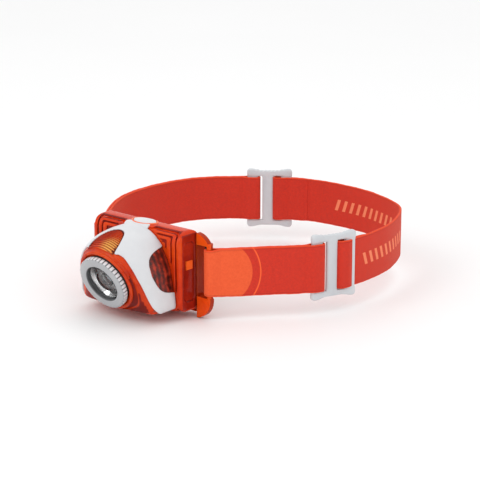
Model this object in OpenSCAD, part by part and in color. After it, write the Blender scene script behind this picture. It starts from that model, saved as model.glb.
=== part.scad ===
// Headlamp with a tilting lamp head, three-cell battery case and an elastic headband.
// Origin: centre of the forehead pad's rear face. +X wearer's left-hand side seen from the front right,
// +Y towards the head, +Z up. The lamp shines towards -Y.

/* [Battery case] */
// Width of the battery case
case_w = 60; // [59:0.5:62]
// Height of the battery case
case_h = 41.9; // [41.5:0.1:43]
// Corner radius of the battery case
case_r = 2.5; // [2:0.5:4]
// Diameter of one battery cell
cell_d = 10.5; // [10.2:0.1:10.5]
// Length of one battery cell without its button
cell_l = 43.3; // [42:0.1:43.5]

/* [Lamp head] */
// Downward tilt of the light beam at rest, degrees
beam_tilt = 21.3; // [15:0.1:25]
// Distance from the case to the front of the collar
head_len = 22.3; // [21:0.1:24]
// Radius of the round collar
collar_r = 17.6; // [17:0.1:18]
// Half height of the head where it leaves the case
head_top = 21.5; // [20.5:0.1:22]
// Half width of the head at mid height
head_side = 24; // [23:0.1:25]
// Depth of the flat belly below the centre
head_belly = 20; // [19:0.1:20.5]
// Thickness of the white shell
shell_t = 0.8; // [0.6:0.1:1]
// Wall of the translucent housing
wall_t = 1.2; // [1:0.1:1.4]

/* [Focus ring] */
// Outer radius of the knurled ring
ring_r = 14.2; // [14:0.1:14.6]
// Radius of the opening over the lens
lens_open_r = 10; // [9.5:0.1:10.4]
// Number of knurls
knurls = 42; // [30:2:54]

/* [Bracket] */
// Width over the strap bars
bracket_w = 80.2; // [79:0.1:82]
// Height of the bracket
bracket_h = 43.9; // [43:0.1:46]
// Radius of the tilt hinge pin
pin_r = 1; // [0.8:0.1:1.1]

/* [Headband] */
// Width of the webbing
web_w = 25; // [20:1:25]
// Thickness of one layer of webbing
web_t = 1.3; // [1:0.1:1.4]
// Length of a buckle along the band
buckle_l = 26; // [24:1:28]
// Height of a buckle
buckle_h = 34.3; // [32:0.1:36]

/* [Hidden] */
$fn = 48;

// the case's front face stands this far in front of the pad's rear face
front_y = 20.1;
case_y = 12.3;          // depth of the case
rail_y = 13.6;          // rear of the door rails
hinge = [14.6, -21.2];  // y, z of the tilt axis, from the case's front face
bar_x = 38.5;           // strap bars of the bracket
bar_y = 12;
bar_r = 1.6;
front_edge = 6;         // rounding of the case's front edges, seen from the side
button_y = 6.1;         // middle of the button, from the case's front face
gap = 0.15;

// plan points of the band, x and y from the case's front face, walked clockwise seen from above
front_right = [[bar_x, bar_y], [41.5, 14.5], [49, 22.8], [59.3, 35.2], [68, 44.5], [72.8, 52.4]];
right_a = [71.9, 50.2];
right_b = [81.1, 74.9];
left_a = [-44.9, 137.3];
left_b = [-24.3, 153.2];
back_band = [[80.2, 72.6], [80.8, 78], [80.9, 86.5], [80.2, 94], [79.2, 102], [77.2, 110], [73.8, 119], [68, 131], [61, 140.5],
             [51.5, 147], [42, 151.4], [35, 154], [27.6, 156.4], [15, 158], [4, 158.4], [-7, 157.6], [-17, 155.4], [-26.9, 151.2]];
front_left = [[-bar_x, bar_y], [-41.5, 16], [-46, 23], [-52, 32], [-58.6, 41.5], [-64.6, 52], [-68.6, 62], [-70.8, 72],
              [-71.5, 82], [-71.3, 92], [-69.8, 102], [-67.2, 111], [-63, 119], [-57.5, 126], [-51, 132.4], [-42.6, 139.1]];

module place() translate([0, -front_y, 0]) children();
// a flat outline in x and z, given a depth from y0 to y1
module deep(y0, y1) translate([0, y1, 0]) rotate([90, 0, 0]) linear_extrude(y1 - y0) children();
module rr(w, h, r) {
    square([w - 2 * r, h], center = true);
    square([w, h - 2 * r], center = true);
    for (a = [-1, 1], b = [-1, 1]) translate([a * (w / 2 - r), b * (h / 2 - r)]) circle(r);
}
// the optical frame: z along the beam, zero at the front of the focus ring
module optic() translate([0, -25.66, -5.06]) rotate([90 + beam_tilt, 0, 0]) children();
// a point of the optical frame in the case's frame
function from_optic(p) = [p[0], -25.66 + p[1] * cos(90 + beam_tilt) - p[2] * sin(90 + beam_tilt),
                          -5.06 + p[1] * sin(90 + beam_tilt) + p[2] * cos(90 + beam_tilt)];
module leaf(grow) intersection() {
    translate([0, 2.8]) circle(7.3 + grow);
    translate([0, -2.8]) circle(7.3 + grow);
}

// ---- the head's surface: a at the angle round the axis, u from the case (0) to the collar (1)
function clip(v) = max(0, v);
function section(a) = let (s = sin(a), c = abs(cos(a)))
    s >= 0 ? head_top + (head_side - head_top) * pow(1 - s, 2.6) - 0.5 * pow(s, 6)
           : pow(pow(head_side / max(c + 0.18 * s, 0.05), -10) + pow(head_belly / max(-s, 0.001), -10), -0.1);
function head_pt(a, u) = let (
    r = collar_r + (section(a) - collar_r) * (1 - pow(u, 6.3)),
    lift = 1.2 * pow(clip(-sin(a)), 3) * 4 * u * u * (1 - u * u),
    v = r * sin(a) + lift, t = beam_tilt * pow(u, 3.94))
    [r * cos(a), -head_len * u - v * sin(t), -3.75 * pow(u, 2.8) + v * cos(t)];
function unit(v) = v / norm(v);
function head_n(a, u) = let (d = 0.002, k = min(u, 1 - d))
    unit(cross(head_pt(a + 0.5, u) - head_pt(a - 0.5, u), head_pt(a, k + d) - head_pt(a, k)));
function skin(a, u, off) = let (n = head_n(a, u), q = head_pt(a, u) + n * off)
    u < 0.001 ? [q[0], 0, q[2]] : q;

// a closed patch of the skin: grid(i, j) runs over angle and length, between two offsets
module patch(rows, cols, A, U, o0, o1) {
    top = [for (i = [0:rows], j = [0:cols]) skin(A(i, j), U(i, j), o1)];
    bot = [for (i = [0:rows], j = [0:cols]) skin(A(i, j), U(i, j), o0)];
    m = cols + 1; n = len(top);
    function q(a, b, c, d) = [[a, b, c], [a, c, d]];
    faces = concat(
        [for (i = [0:rows - 1], j = [0:cols - 1]) for (f = q(i * m + j, i * m + j + 1, (i + 1) * m + j + 1, (i + 1) * m + j)) f],
        [for (i = [0:rows - 1], j = [0:cols - 1]) for (f = q(n + i * m + j, n + (i + 1) * m + j, n + (i + 1) * m + j + 1, n + i * m + j + 1)) f],
        [for (i = [0:rows - 1]) for (f = q(i * m, (i + 1) * m, n + (i + 1) * m, n + i * m)) f],
        [for (i = [0:rows - 1]) for (f = q(i * m + cols, n + i * m + cols, n + (i + 1) * m + cols, (i + 1) * m + cols)) f],
        [for (j = [0:cols - 1]) for (f = q(j, n + j, n + j + 1, j + 1)) f],
        [for (j = [0:cols - 1]) for (f = q(rows * m + j, rows * m + j + 1, n + rows * m + j + 1, n + rows * m + j)) f]);
    polyhedron(concat(top, bot), faces, convexity = 6);
}

// edges of the white A-shaped shell, as length along the head for each angle
function shell_front(a) = let (b = a > 90 ? 180 - a : a) lookup(b, [[-37, 0.45], [-33, 0.61], [-28, 0.75], [-21, 0.81], [-7, 0.86],
    [11, 0.895], [31, 0.9], [44, 0.895], [54, 0.91], [60, 0.935], [66, 0.8], [77, 0.575], [82, 0.52], [86, 0.5], [90, 0.495]]);
function shell_back(a) = let (b = a > 90 ? 180 - a : a) lookup(b, [[-37, 0], [-21.5, 0], [-20, 0.17], [-18, 0.31], [-13, 0.45], [-4, 0.55],
    [5, 0.6], [15, 0.59], [22, 0.55], [27, 0.47], [30, 0.36], [33, 0.18], [35, 0.02], [36, 0], [90, 0]]);

// ---- tubes and ribbons
function frame_x(t) = unit(cross(t, abs(t[2]) > 0.9 ? [1, 0, 0] : [0, 0, 1]));
module tube(p, r, n = 8) {
    k = len(p);
    T = [for (i = [0:k - 1]) unit(p[min(i + 1, k - 1)] - p[max(i - 1, 0)])];
    pts = [for (i = [0:k - 1]) let (x = frame_x(T[i]), y = cross(T[i], x)) for (j = [0:n - 1]) p[i] + r * (cos(360 * j / n) * x + sin(360 * j / n) * y)];
    faces = concat([[for (j = [n - 1:-1:0]) j]], [[for (j = [0:n - 1]) (k - 1) * n + j]],
        [for (i = [0:k - 2], j = [0:n - 1]) let (a = i * n + j, b = i * n + (j + 1) % n) [a, b, b + n, a + n]]);
    polyhedron(pts, [for (f = faces) [for (i = [len(f) - 1:-1:0]) f[i]]], convexity = 8);
}
function side_pt(p, i, d) = let (k = len(p), t = unit(p[min(i + 1, k - 1)] - p[max(i - 1, 0)])) p[i] + d * [-t[1], t[0]];
module ribbon(p, t) polygon(concat([for (i = [0:len(p) - 1]) side_pt(p, i, t / 2)], [for (i = [len(p) - 1:-1:0]) side_pt(p, i, -t / 2)]));
// points of a plan curve through p, four steps to each span
function curve(p) = let (k = len(p)) concat([for (i = [0:k - 2]) for (s = [0:3]) let (w = s / 4,
    a = p[max(i - 1, 0)], b = p[i], c = p[i + 1], d = p[min(i + 2, k - 1)])
    b + 0.5 * w * ((c - a) + w * ((2 * a - 5 * b + 4 * c - d) + w * (3 * (b - c) + d - a)))], [p[k - 1]]);
module web() translate([0, 0, -web_w / 2]) linear_extrude(web_w) children();
function bar_of(a, b, s) = let (m = (a + b) / 2, t = unit(b - a)) m + t * s;
s_in = buckle_l / 2 - 5.1;     // inner and outer edge centres of a buckle's flat outer bars, from its middle
s_out = buckle_l / 2 - 1.7;
brr = 1.3;                     // half thickness of a buckle's bars

module eye(c, r) translate(c) circle(r + gap + web_t);
module eye_hole(c, r) translate(c) circle(r + gap);
// a flat bar's section with round edges, between two points
module flat(a, b, r) {
    w = atan2(b[1] - a[1], b[0] - a[0]);
    polygon(concat([for (i = [-6:6]) b + r * [cos(w + 15 * i), sin(w + 15 * i)]], [for (i = [-6:6]) a - r * [cos(w + 15 * i), sin(w + 15 * i)]]));
}
module buckle_eye(a, b, s, grow) flat(bar_of(a, b, s * s_in), bar_of(a, b, s * s_out), brr + grow);

// ---- band
module bracket() color([0.95, 0.36, 0.12]) place() difference() {
    union() {
        difference() {
            union() {
                deep(10.4, 16.6) translate([0, -2.9]) rr(69, 40.6, 9);
                deep(10.4, 13.2) translate([0, -2.55]) rr(bracket_w, bracket_h, 10);
            }
            translate([-31, 0, -30]) cube([62, 14.2, 60]);
            for (s = [-1, 1]) translate([s > 0 ? 31.1 : -bar_x - 5, 0, -13.5]) cube([bar_x + 5 - 31.1, 30, 27]);
        }
        for (s = [-1, 1]) translate([s * bar_x, bar_y, -15]) cylinder(r = bar_r, h = 30);
        for (s = [-1, 1]) for (x = [9, 21.6]) translate([s > 0 ? x : -x - 5.4, hinge[0], hinge[1]]) rotate([0, 90, 0]) cylinder(r = 2, h = 5.4);
    }
    // room for the case's knuckles
    for (s = [-1, 1]) translate([s > 0 ? 14.4 : -21.6, 10, -26]) cube([7.2, 10, 8.2]);
    translate([-30, hinge[0], hinge[1]]) rotate([0, 90, 0]) cylinder(r = pin_r, h = 60);
    // ribs between four slots
    for (x = [-19.5, -6.5, 6.5, 19.5]) deep(13, 18) translate([x, 1]) rr(6, 22, 2.9);
}
module forehead_pad() color([0.16, 0.16, 0.17]) place() deep(16.6, front_y) rr(64, 33, 8);
module hinge_pin() color([0.75, 0.75, 0.77]) place() translate([-27.5, hinge[0], hinge[1]]) rotate([0, 90, 0]) cylinder(r = pin_r, h = 55);
module hinge_washers() color([0.85, 0.85, 0.86]) place() for (x = [-21.5, -14.9, 14.5, 21.1])
    translate([x + 0.05, hinge[0], hinge[1]]) rotate([0, 90, 0]) difference() { cylinder(r = 1.8, h = 0.3); translate([0, 0, -1]) cylinder(r = pin_r + 0.1, h = 3); }

module front_strap_right() color([0.82, 0.21, 0.15]) place() web() difference() {
    union() { eye([bar_x, bar_y], bar_r); ribbon(curve(front_right), 2 * web_t + 0.1); buckle_eye(right_a, right_b, -1, gap + web_t); }
    eye_hole([bar_x, bar_y], bar_r);
    buckle_eye(right_a, right_b, -1, gap);
}
module front_strap_left() color([0.82, 0.21, 0.15]) place() web() difference() {
    union() { eye([-bar_x, bar_y], bar_r); ribbon(curve(front_left), 2 * web_t + 0.1); buckle_eye(left_a, left_b, -1, gap + web_t); }
    eye_hole([-bar_x, bar_y], bar_r);
    buckle_eye(left_a, left_b, -1, gap);
}
module rear_strap() color([0.82, 0.21, 0.15]) place() web() difference() {
    union() {
        buckle_eye(right_a, right_b, 1, gap + web_t);
        ribbon(curve(back_band), 1.6);
        buckle_eye(left_a, left_b, 1, gap + web_t);
    }
    buckle_eye(right_a, right_b, 1, gap);
    buckle_eye(left_a, left_b, 1, gap);
}
// a ladder buckle: two rails, and three bars that the webbing goes round
module buckle(a, b) {
    m = (a + b) / 2;
    t = b - a;
    translate([m[0], m[1], 0]) rotate([0, 0, atan2(t[1], t[0])]) {
        for (s = [-1, 1]) translate([0, 0, s * (buckle_h / 2 - 2.1)]) rotate([90, 0, 0]) translate([0, 0, -1.7]) linear_extrude(3.4) rr(buckle_l, 4.2, 1.8);
        for (x = [[-s_out, -s_in], [-0.8, 0.8], [s_in, s_out]]) translate([0, 0, -buckle_h / 2 + 2]) linear_extrude(buckle_h - 4) flat([x[0], 0], [x[1], 0], brr);
    }
}
module buckle_right() color([0.85, 0.86, 0.87]) place() buckle(right_a, right_b);
module buckle_left() color([0.85, 0.86, 0.87]) place() buckle(left_a, left_b);

// ---- lamp: case
// what lies outside the case's rounded top rear edge
module rear_round(r) translate([-40, 0, 0]) rotate([90, 0, 90]) linear_extrude(80) difference() {
    translate([8.6, case_h / 2 - 4.5]) square([6, 10]);
    translate([8.6, case_h / 2 - 4.5]) circle(r, $fn = 72);
}
module head_footprint(grow) polygon([for (i = [0:71]) let (a = 5 * i, r = section(a) + grow) [r * cos(a), r * sin(a)]]);
// the case seen from the side: both front edges are rounded, grow makes it larger all round
module case_profile(grow) translate([-40, 0, 0]) rotate([90, 0, 90]) linear_extrude(80) hull() {
    for (s = [-1, 1]) translate([front_edge, s * (case_h / 2 - front_edge)]) circle(front_edge + grow, $fn = 96);
    translate([15, -case_h / 2 - grow]) square([1, case_h + 2 * grow]);
}
module battery_case() color([0.88, 0.26, 0.1]) place() difference() {
    union() {
        intersection() { deep(0, case_y) rr(case_w, case_h, case_r); case_profile(0); }
        // the land the head is screwed to
        intersection() { deep(0, 6.5) rr(case_w, case_h, case_r); deep(-1, 8) head_footprint(0); }
        // stepped rims round the front face, clear of the head
        difference() {
            intersection() {
                deep(-0.6, 3.4) {
                    difference() { rr(case_w - 1.6, case_h - 1.6, 2.4); rr(case_w - 6, case_h - 5.1, 1.6); }
                    difference() { rr(case_w - 8.2, case_h - 6.8, 1.6); rr(case_w - 13, case_h - 9.5, 1); }
                    difference() { rr(case_w - 14, case_h - 11.2, 1.2); rr(case_w - 19, case_h - 14, 0.8); }
                }
                case_profile(0.6);
            }
            deep(-2, 4) head_footprint(0.5);
            translate([-9.5, -2, 15]) cube([19, 6, 10]);
        }
        for (s = [-1, 1]) translate([s > 0 ? 28 : -case_w / 2, case_y - 1, -15.5]) cube([case_w / 2 - 28, rail_y - case_y + 1, 31]);
        for (s = [-1, 1]) translate([s > 0 ? 15 : -21, 0, 0]) {
            translate([0, hinge[0], hinge[1]]) rotate([0, 90, 0]) cylinder(r = 2, h = 6);
            translate([0, 10.6, hinge[1] - 2]) cube([6, hinge[0] - 10.6, 4]);
        }
    }
    difference() {
        intersection() { deep(0.9, 20) rr(case_w - 2.8, case_h - 2.8, 1.6); translate([0, -0.45, 0]) case_profile(-1.35); }
        // keep the rails and the knuckles
        for (s = [-1, 1]) translate([s > 0 ? 28 : -case_w / 2, 13, -15.5]) cube([case_w / 2 - 28, 3, 31]);
        rear_round(3.1);
    }
    rear_round(4.5);
    // clearance for the switch board's front edge
    translate([-9.3, 1.4, 16.5]) cube([18.6, 3, 1.4]);
    translate([0, button_y, 18.1]) linear_extrude(1.45) leaf(0.55);
    translate([-29.2, 11.6, -19.3]) cube([58.4, 1.4, 60]);
    translate([-30, hinge[0], hinge[1]]) rotate([0, 90, 0]) cylinder(r = pin_r + 0.05, h = 60);
    translate([0, button_y, 0]) linear_extrude(30) leaf(gap);
    // side panels and their windows
    for (s = [-1, 1]) translate([s * case_w / 2, 6.2, 0]) rotate([90, 0, 90]) {
        translate([0, 0, -0.45]) linear_extrude(1) rr(8.6, 31, 3.4);
        translate([0, 3.5, -3]) linear_extrude(5) square([4.5, 4.4], center = true);
    }
    for (p = [[-4, -5.75], [4, -5.75], [-8, 5.75], [8, 5.75]]) translate([p[0], 3, p[1]]) rotate([90, 0, 0]) cylinder(r = 0.95, h = 6);
    translate([11, -1, -3]) cube([5, 3, 6]);
}
module battery_door() color([0.8, 0.2, 0.08]) place() {
    difference() {
        deep(11.7, 12.9) translate([0, -0.5]) rr(58.2, 37.4, 4.4);
        deep(12.5, 13.5) translate([0, -2]) rr(44, 26, 3);
    }
    for (z = [14, 15.6, 17.2]) translate([-7, 12.8, z]) cube([14, 0.5, 0.8]);
}
cell_z = [-11.5, 0, 11.5];
module battery_cells() color([0.2, 0.2, 0.22]) place() for (i = [0:2]) let (s = i == 1 ? -1 : 1)
    translate([0, 6.2, cell_z[i]]) rotate([0, 90 * s, 0]) rotate_extrude()
        polygon([[0, -20.3], [cell_d / 2 - 0.3, -20.3], [cell_d / 2, -20], [cell_d / 2, cell_l - 20.7], [cell_d / 2 - 0.4, cell_l - 20.3], [1.9, cell_l - 20.3], [1.9, cell_l - 19.3], [0, cell_l - 19.3]]);
module contact_springs() color([0.8, 0.8, 0.82]) place() for (i = [0:2]) let (s = i == 1 ? 1 : -1)
    translate([s * 27.1, 6.2, cell_z[i]])
        tube([for (k = [0:54]) let (w = k / 54, r = 3.3 - 1.2 * w, a = 360 * 4.5 * w) [-s * (0.35 + 6.1 * w), r * cos(a), r * sin(a)]], 0.3, 6);
module contact_plates() color([0.78, 0.78, 0.8]) place() for (s = [-1, 1]) {
    translate([s > 0 ? 27.1 : -27.6, 2.2, -16]) cube([0.5, 8, 32]);
    for (i = [0:2]) if ((i == 1) == (s < 0)) translate([s > 0 ? cell_l - 19.25 : -27.2, 6.2, cell_z[i]]) rotate([0, 90, 0]) cylinder(r = 1.6, h = 27.2 - (cell_l - 19.25));
}

// ---- lamp: head
NA = 60; NU = 10;
module head_tube(o0, o1) {
    U = [for (j = [0:NU]) 1 - pow(1 - j / NU, 1.7)];
    out = [for (j = [0:NU], i = [0:NA - 1]) skin(i * 360 / NA - 90, U[j], o1)];
    inn = [for (j = [0:NU], i = [0:NA - 1]) skin(i * 360 / NA - 90, U[j], o0)];
    n = len(out);
    function k(i, j) = j * NA + i % NA;
    faces = concat(
        [for (j = [0:NU - 1], i = [0:NA - 1]) for (f = [[k(i, j), k(i + 1, j), k(i + 1, j + 1)], [k(i, j), k(i + 1, j + 1), k(i, j + 1)]]) f],
        [for (j = [0:NU - 1], i = [0:NA - 1]) for (f = [[k(i, j), k(i + 1, j + 1), k(i + 1, j)], [k(i, j), k(i, j + 1), k(i + 1, j + 1)]]) [for (v = f) v + n]],
        [for (i = [0:NA - 1]) for (f = [[k(i, 0), n + k(i, 0), n + k(i + 1, 0)], [k(i, 0), n + k(i + 1, 0), k(i + 1, 0)]]) f],
        [for (i = [0:NA - 1]) for (f = [[k(i, NU), k(i + 1, NU), n + k(i + 1, NU)], [k(i, NU), n + k(i + 1, NU), n + k(i, NU)]]) f]);
    polyhedron(concat(out, inn), [for (f = faces) [f[0], f[2], f[1]]], convexity = 6);
}
module front_housing() color([0.9, 0.3, 0.12, 0.8]) place() union() {
    head_tube(-shell_t - wall_t, -shell_t);
    optic() rotate_extrude($fn = 72) polygon([[13.75, -8.5], [collar_r - 1.35, -8.5], [collar_r - 1.35, -3.9], [collar_r - 1.9, -3.4], [13.75, -3.4]]);
}
module shell_cover() color([0.93, 0.93, 0.93]) place() {
    R = 84; C = 7;
    AA = function(i, j) -37 + 254 * i / R;
    patch(R, C, AA, function(i, j) let (a = AA(i, j), b = shell_back(a), f = shell_front(a)) b + (f - b) * (1 - pow(1 - j / C, 1.5)), -shell_t + 0.2, 0);
}
module prism_panel() color([1, 0.5, 0.2, 0.8]) place() {
    R = 24; C = 8;
    AA = function(i, j) 61.5 + 57 * i / R;
    patch(R, C, AA, function(i, j) let (a = AA(i, j), b = shell_front(a) + 0.015) b + (0.955 - b) * j / C, -shell_t + 0.2, -0.15);
}
module focus_ring() color([0.72, 0.72, 0.72]) place() optic() union() {
    rotate_extrude($fn = 96) polygon([[lens_open_r, 0], [ring_r - 0.5, 0], [ring_r - 0.15, -0.35], [ring_r - 0.15, -3.2], [13.4, -3.2], [13.4, -5.6], [12.85, -5.6],
        [12.85, -6.9], [13.4, -6.9], [13.4, -9.5], [12.2, -9.5], [12.2, -1.4], [lens_open_r, -1.1]]);
    translate([0, 0, -3.05]) linear_extrude(2.6) difference() {
        polygon([for (i = [0:knurls - 1], k = [0:3]) let (a = (i + [0, 0.3, 0.5, 0.8][k]) * 360 / knurls, r = ring_r + [0, 0, 0.3, 0.3][k]) [r * cos(a), r * sin(a)]]);
        circle(13.6);
    }
}
module ring_seal() color([0.08, 0.08, 0.08]) place() optic() translate([0, 0, -6.25]) rotate_extrude($fn = 72) translate([13.28, 0]) circle(0.4, $fn = 16);
module lens_carrier() color([0.1, 0.1, 0.1]) place() optic()
    rotate_extrude($fn = 72) polygon([[10.65, -1.7], [11.6, -1.7], [11.9, -2], [11.9, -9.5], [10.65, -9.5], [10.65, -7.4], [9.9, -7.4], [9.9, -6.2], [10.65, -6.2]]);
module lens() color([0.85, 0.88, 0.9, 0.4]) place() optic()
    rotate_extrude($fn = 72) polygon(concat([[0, -6.1], [10.6, -6.1]], [for (i = [0:10]) let (r = 10.6 * (1 - i / 10)) [r, -1.9 - 1.2 * pow(r / 10.6, 2)]]));
module reflector() color([0.85, 0.85, 0.86]) place() optic()
    rotate_extrude($fn = 72) polygon([[2.4, -17.2], [4.2, -17.2], [8.8, -11.4], [8.8, -11], [8.3, -11], [5.2, -14], [2.4, -16.5]]);
module led_chip() color([0.95, 0.9, 0.5]) place() optic() {
    translate([-1.5, -1.5, -17.2]) cube([3, 3, 0.7]);
    translate([0, 0, -16.6]) intersection() { sphere(1.3); translate([-2, -2, 0]) cube(4); }
}
module led_board() color([0.9, 0.9, 0.88]) place() optic() difference() {
    translate([0, 0, -18.6]) cylinder(r = 9.5, h = 1.4);
    for (s = [-1, 1]) translate([s * 9.6, 0, -19]) cylinder(r = 1.4, h = 3);
}
module heat_sink() color([0.7, 0.71, 0.73]) place() difference() {
    union() {
        optic() translate([0, 0, -21]) cylinder(r = 10.8, h = 2.4);
        optic() for (x = [-3.5:1.75:3.5]) translate([x - 0.4, -7, -23]) cube([0.8, 14, 2.5]);
        for (x = [-4, 4]) translate([x, 0, -5.75]) rotate([90, 0, 0]) cylinder(r = 1.9, h = 4.2);
        for (x = [-8, 8]) translate([x, 0, 5.75]) rotate([90, 0, 0]) cylinder(r = 1.9, h = 8.6);
    }
    for (x = [-4, 4]) translate([x, 1, -5.75]) rotate([90, 0, 0]) cylinder(r = 0.85, h = 4.2);
    for (x = [-8, 8]) translate([x, 1, 5.75]) rotate([90, 0, 0]) cylinder(r = 0.85, h = 6.6);
}
module mount_screws() color([0.6, 0.6, 0.62]) place()
    for (p = [[-4, -5.75, 3], [4, -5.75, 3], [-8, 5.75, 5], [8, 5.75, 5]]) translate([p[0], 0, p[1]]) {
        translate([0, 0.9, 0]) rotate([90, 0, 0]) cylinder(r = 0.8, h = p[2] + 0.9);
        translate([0, 1.7, 0]) rotate([90, 0, 0]) cylinder(r = 1.45, h = 0.8);
    }
module driver_board() color([0.1, 0.4, 0.2]) place() translate([-15, -1.2, -16.6]) cube([30, 1.2, 7.6]);
module driver_chips() color([0.08, 0.08, 0.08]) place() {
    translate([-12, -2.4, -15.2]) cube([5, 1.2, 4.4]);
    translate([-4, -3.6, -15.6]) cube([5, 2.4, 5]);
    translate([11, -2.2, -15]) cube([2.4, 1, 4]);
}
module led_wires() color([0.7, 0.05, 0.05]) place() for (s = [-1, 1])
    tube([for (w = [0:0.1:1]) let (p = [s * 6, -1.72, -11], q = [s * 9.2, -3.8, -7.8], r = [s * 10.4, -6.6, -7], e = from_optic([s * 6.2, -6.2, -17.2]) )
        pow(1 - w, 3) * p + 3 * w * pow(1 - w, 2) * q + 3 * w * w * (1 - w) * (r + [s * 1, -3.4, -1.4]) + pow(w, 3) * (e + [0, -0.35, -0.14])], 0.4, 8);
module switch_board() color([0.1, 0.4, 0.2]) place() translate([-9, 1.6, 17]) cube([18, 9.4, 0.6]);
module tact_switch() color([0.2, 0.2, 0.2]) place() {
    translate([-2.6, 3.9, 17.6]) cube([5.2, 5.2, 0.5]);
    translate([0, button_y, 18]) cylinder(r = 1.4, h = 0.3);
}
module button() color([0.93, 0.93, 0.93]) place() translate([0, button_y, 0]) {
    intersection() {
        translate([0, 0, 18.9]) linear_extrude(4) leaf(0);
        translate([0, 0, 21.9 - 40]) sphere(40, $fn = 96);
    }
    translate([0, 0, 18.9]) linear_extrude(0.4) leaf(0.4);
}
module button_seal() color([0.95, 0.38, 0.14]) place() translate([0, button_y, case_h / 2]) linear_extrude(0.35) difference() { leaf(0.75); leaf(gap); }
module side_windows() color([1, 0.45, 0.15]) place() for (s = [-1, 1]) translate([s > 0 ? case_w / 2 - 1.4 : -case_w / 2 - 0.1, 6.2 - 2.25, 3.5 - 2.2]) cube([1.5, 4.5, 4.4]);

bracket();
forehead_pad();
hinge_pin();
hinge_washers();
front_strap_right();
front_strap_left();
rear_strap();
buckle_right();
buckle_left();
battery_case();
battery_door();
battery_cells();
contact_springs();
contact_plates();
front_housing();
shell_cover();
prism_panel();
focus_ring();
ring_seal();
lens_carrier();
lens();
reflector();
led_chip();
led_board();
heat_sink();
mount_screws();
driver_board();
driver_chips();
led_wires();
switch_board();
tact_switch();
button();
button_seal();
side_windows();
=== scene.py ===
import bpy, bmesh, math
import numpy as np
from mathutils import Vector, Matrix


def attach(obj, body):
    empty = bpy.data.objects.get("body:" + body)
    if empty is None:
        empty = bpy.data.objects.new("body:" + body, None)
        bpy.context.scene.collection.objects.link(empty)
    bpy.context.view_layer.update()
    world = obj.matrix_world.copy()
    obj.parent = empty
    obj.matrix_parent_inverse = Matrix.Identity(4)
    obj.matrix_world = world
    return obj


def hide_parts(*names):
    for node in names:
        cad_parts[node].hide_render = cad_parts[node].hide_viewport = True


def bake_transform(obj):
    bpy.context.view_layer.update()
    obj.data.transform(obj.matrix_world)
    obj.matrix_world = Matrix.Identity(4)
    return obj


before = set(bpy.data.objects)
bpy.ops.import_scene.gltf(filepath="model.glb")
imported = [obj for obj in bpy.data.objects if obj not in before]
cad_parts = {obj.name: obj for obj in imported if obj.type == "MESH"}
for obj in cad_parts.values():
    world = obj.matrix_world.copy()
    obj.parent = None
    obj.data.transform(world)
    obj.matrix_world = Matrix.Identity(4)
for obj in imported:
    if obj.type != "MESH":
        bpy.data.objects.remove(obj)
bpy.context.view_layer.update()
MM = 0.001
FY = 20.1                    # the case's front face stands this far in front of the pad's rear face


def W(p):
    """Points in millimetres from the case's front face, to metres in the row frame."""
    p = np.asarray(p, float)
    return (p - np.array([0, FY, 0])) * MM


# ------------------------------------------------------------------ camera
def make_camera():
    cam = bpy.data.cameras.new("camera")
    ob = bpy.data.objects.new("camera", cam)
    bpy.context.scene.collection.objects.link(ob)
    ob.location = Vector(W([605.51, -620.12, 258.06]))
    az, el = math.radians(40.885), math.radians(15.860)
    back = Vector((math.sin(az) * math.cos(el), -math.cos(az) * math.cos(el), math.sin(el)))
    right = Vector((math.cos(az), math.sin(az), 0))
    up = back.cross(right)
    m = Matrix((right, up, back)).transposed()
    ob.rotation_euler = m.to_euler()
    cam.sensor_width = 36
    cam.lens = 133.97
    cam.clip_start, cam.clip_end = 0.01, 20
    bpy.context.scene.camera = ob
    return ob


make_camera()
bpy.context.scene.view_settings.view_transform = "Standard"


# ------------------------------------------------------------------ mesh helpers
def add_mesh(name, verts, faces, body, smooth=True, uv=None, world=True):
    me = bpy.data.meshes.new(name)
    v = W(verts) if world else np.asarray(verts, float)
    me.from_pydata([tuple(p) for p in v], [], [tuple(int(i) for i in f) for f in faces])
    me.validate()
    if smooth:
        me.shade_smooth()
    if uv is not None:
        lay = me.uv_layers.new(name="UVMap")
        li = np.zeros(len(me.loops), np.int32)
        me.loops.foreach_get("vertex_index", li)
        lay.data.foreach_set("uv", np.asarray(uv, np.float32)[li].ravel())
    me.update()
    ob = bpy.data.objects.new(name, me)
    bpy.context.scene.collection.objects.link(ob)
    if body:
        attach(ob, body)
    return ob


def sharp(ob, angle=35):
    """Smooth shading, with edges over an angle kept sharp."""
    me = ob.data
    bm = bmesh.new()
    bm.from_mesh(me)
    bmesh.ops.recalc_face_normals(bm, faces=bm.faces)
    lim = math.radians(angle)
    for f in bm.faces:
        f.smooth = True
    for e in bm.edges:
        if len(e.link_faces) == 2:
            e.smooth = e.calc_face_angle(0) < lim
    bm.to_mesh(me)
    bm.free()
    return ob


def outward(ob):
    bm = bmesh.new()
    bm.from_mesh(ob.data)
    bmesh.ops.remove_doubles(bm, verts=bm.verts, dist=1e-7)
    bmesh.ops.recalc_face_normals(bm, faces=bm.faces)
    bm.to_mesh(ob.data)
    bm.free()
    return ob


def ring_faces(n_ring, n, closed_rings=False, close_n=True):
    """Faces over rings of n points each. Rings follow one another, and wrap if closed_rings."""
    f = []
    R = n_ring if closed_rings else n_ring - 1
    for j in range(R):
        a, b = j * n, ((j + 1) % n_ring) * n
        for i in range(n if close_n else n - 1):
            k = (i + 1) % n
            f.append((a + i, a + k, b + k, b + i))
    return f


def grid_faces(m, n, off=0, flip=False):
    f = []
    for i in range(m - 1):
        for j in range(n - 1):
            q = (off + i * n + j, off + (i + 1) * n + j, off + (i + 1) * n + j + 1, off + i * n + j + 1)
            f.append(q[::-1] if flip else q)
    return f


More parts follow.
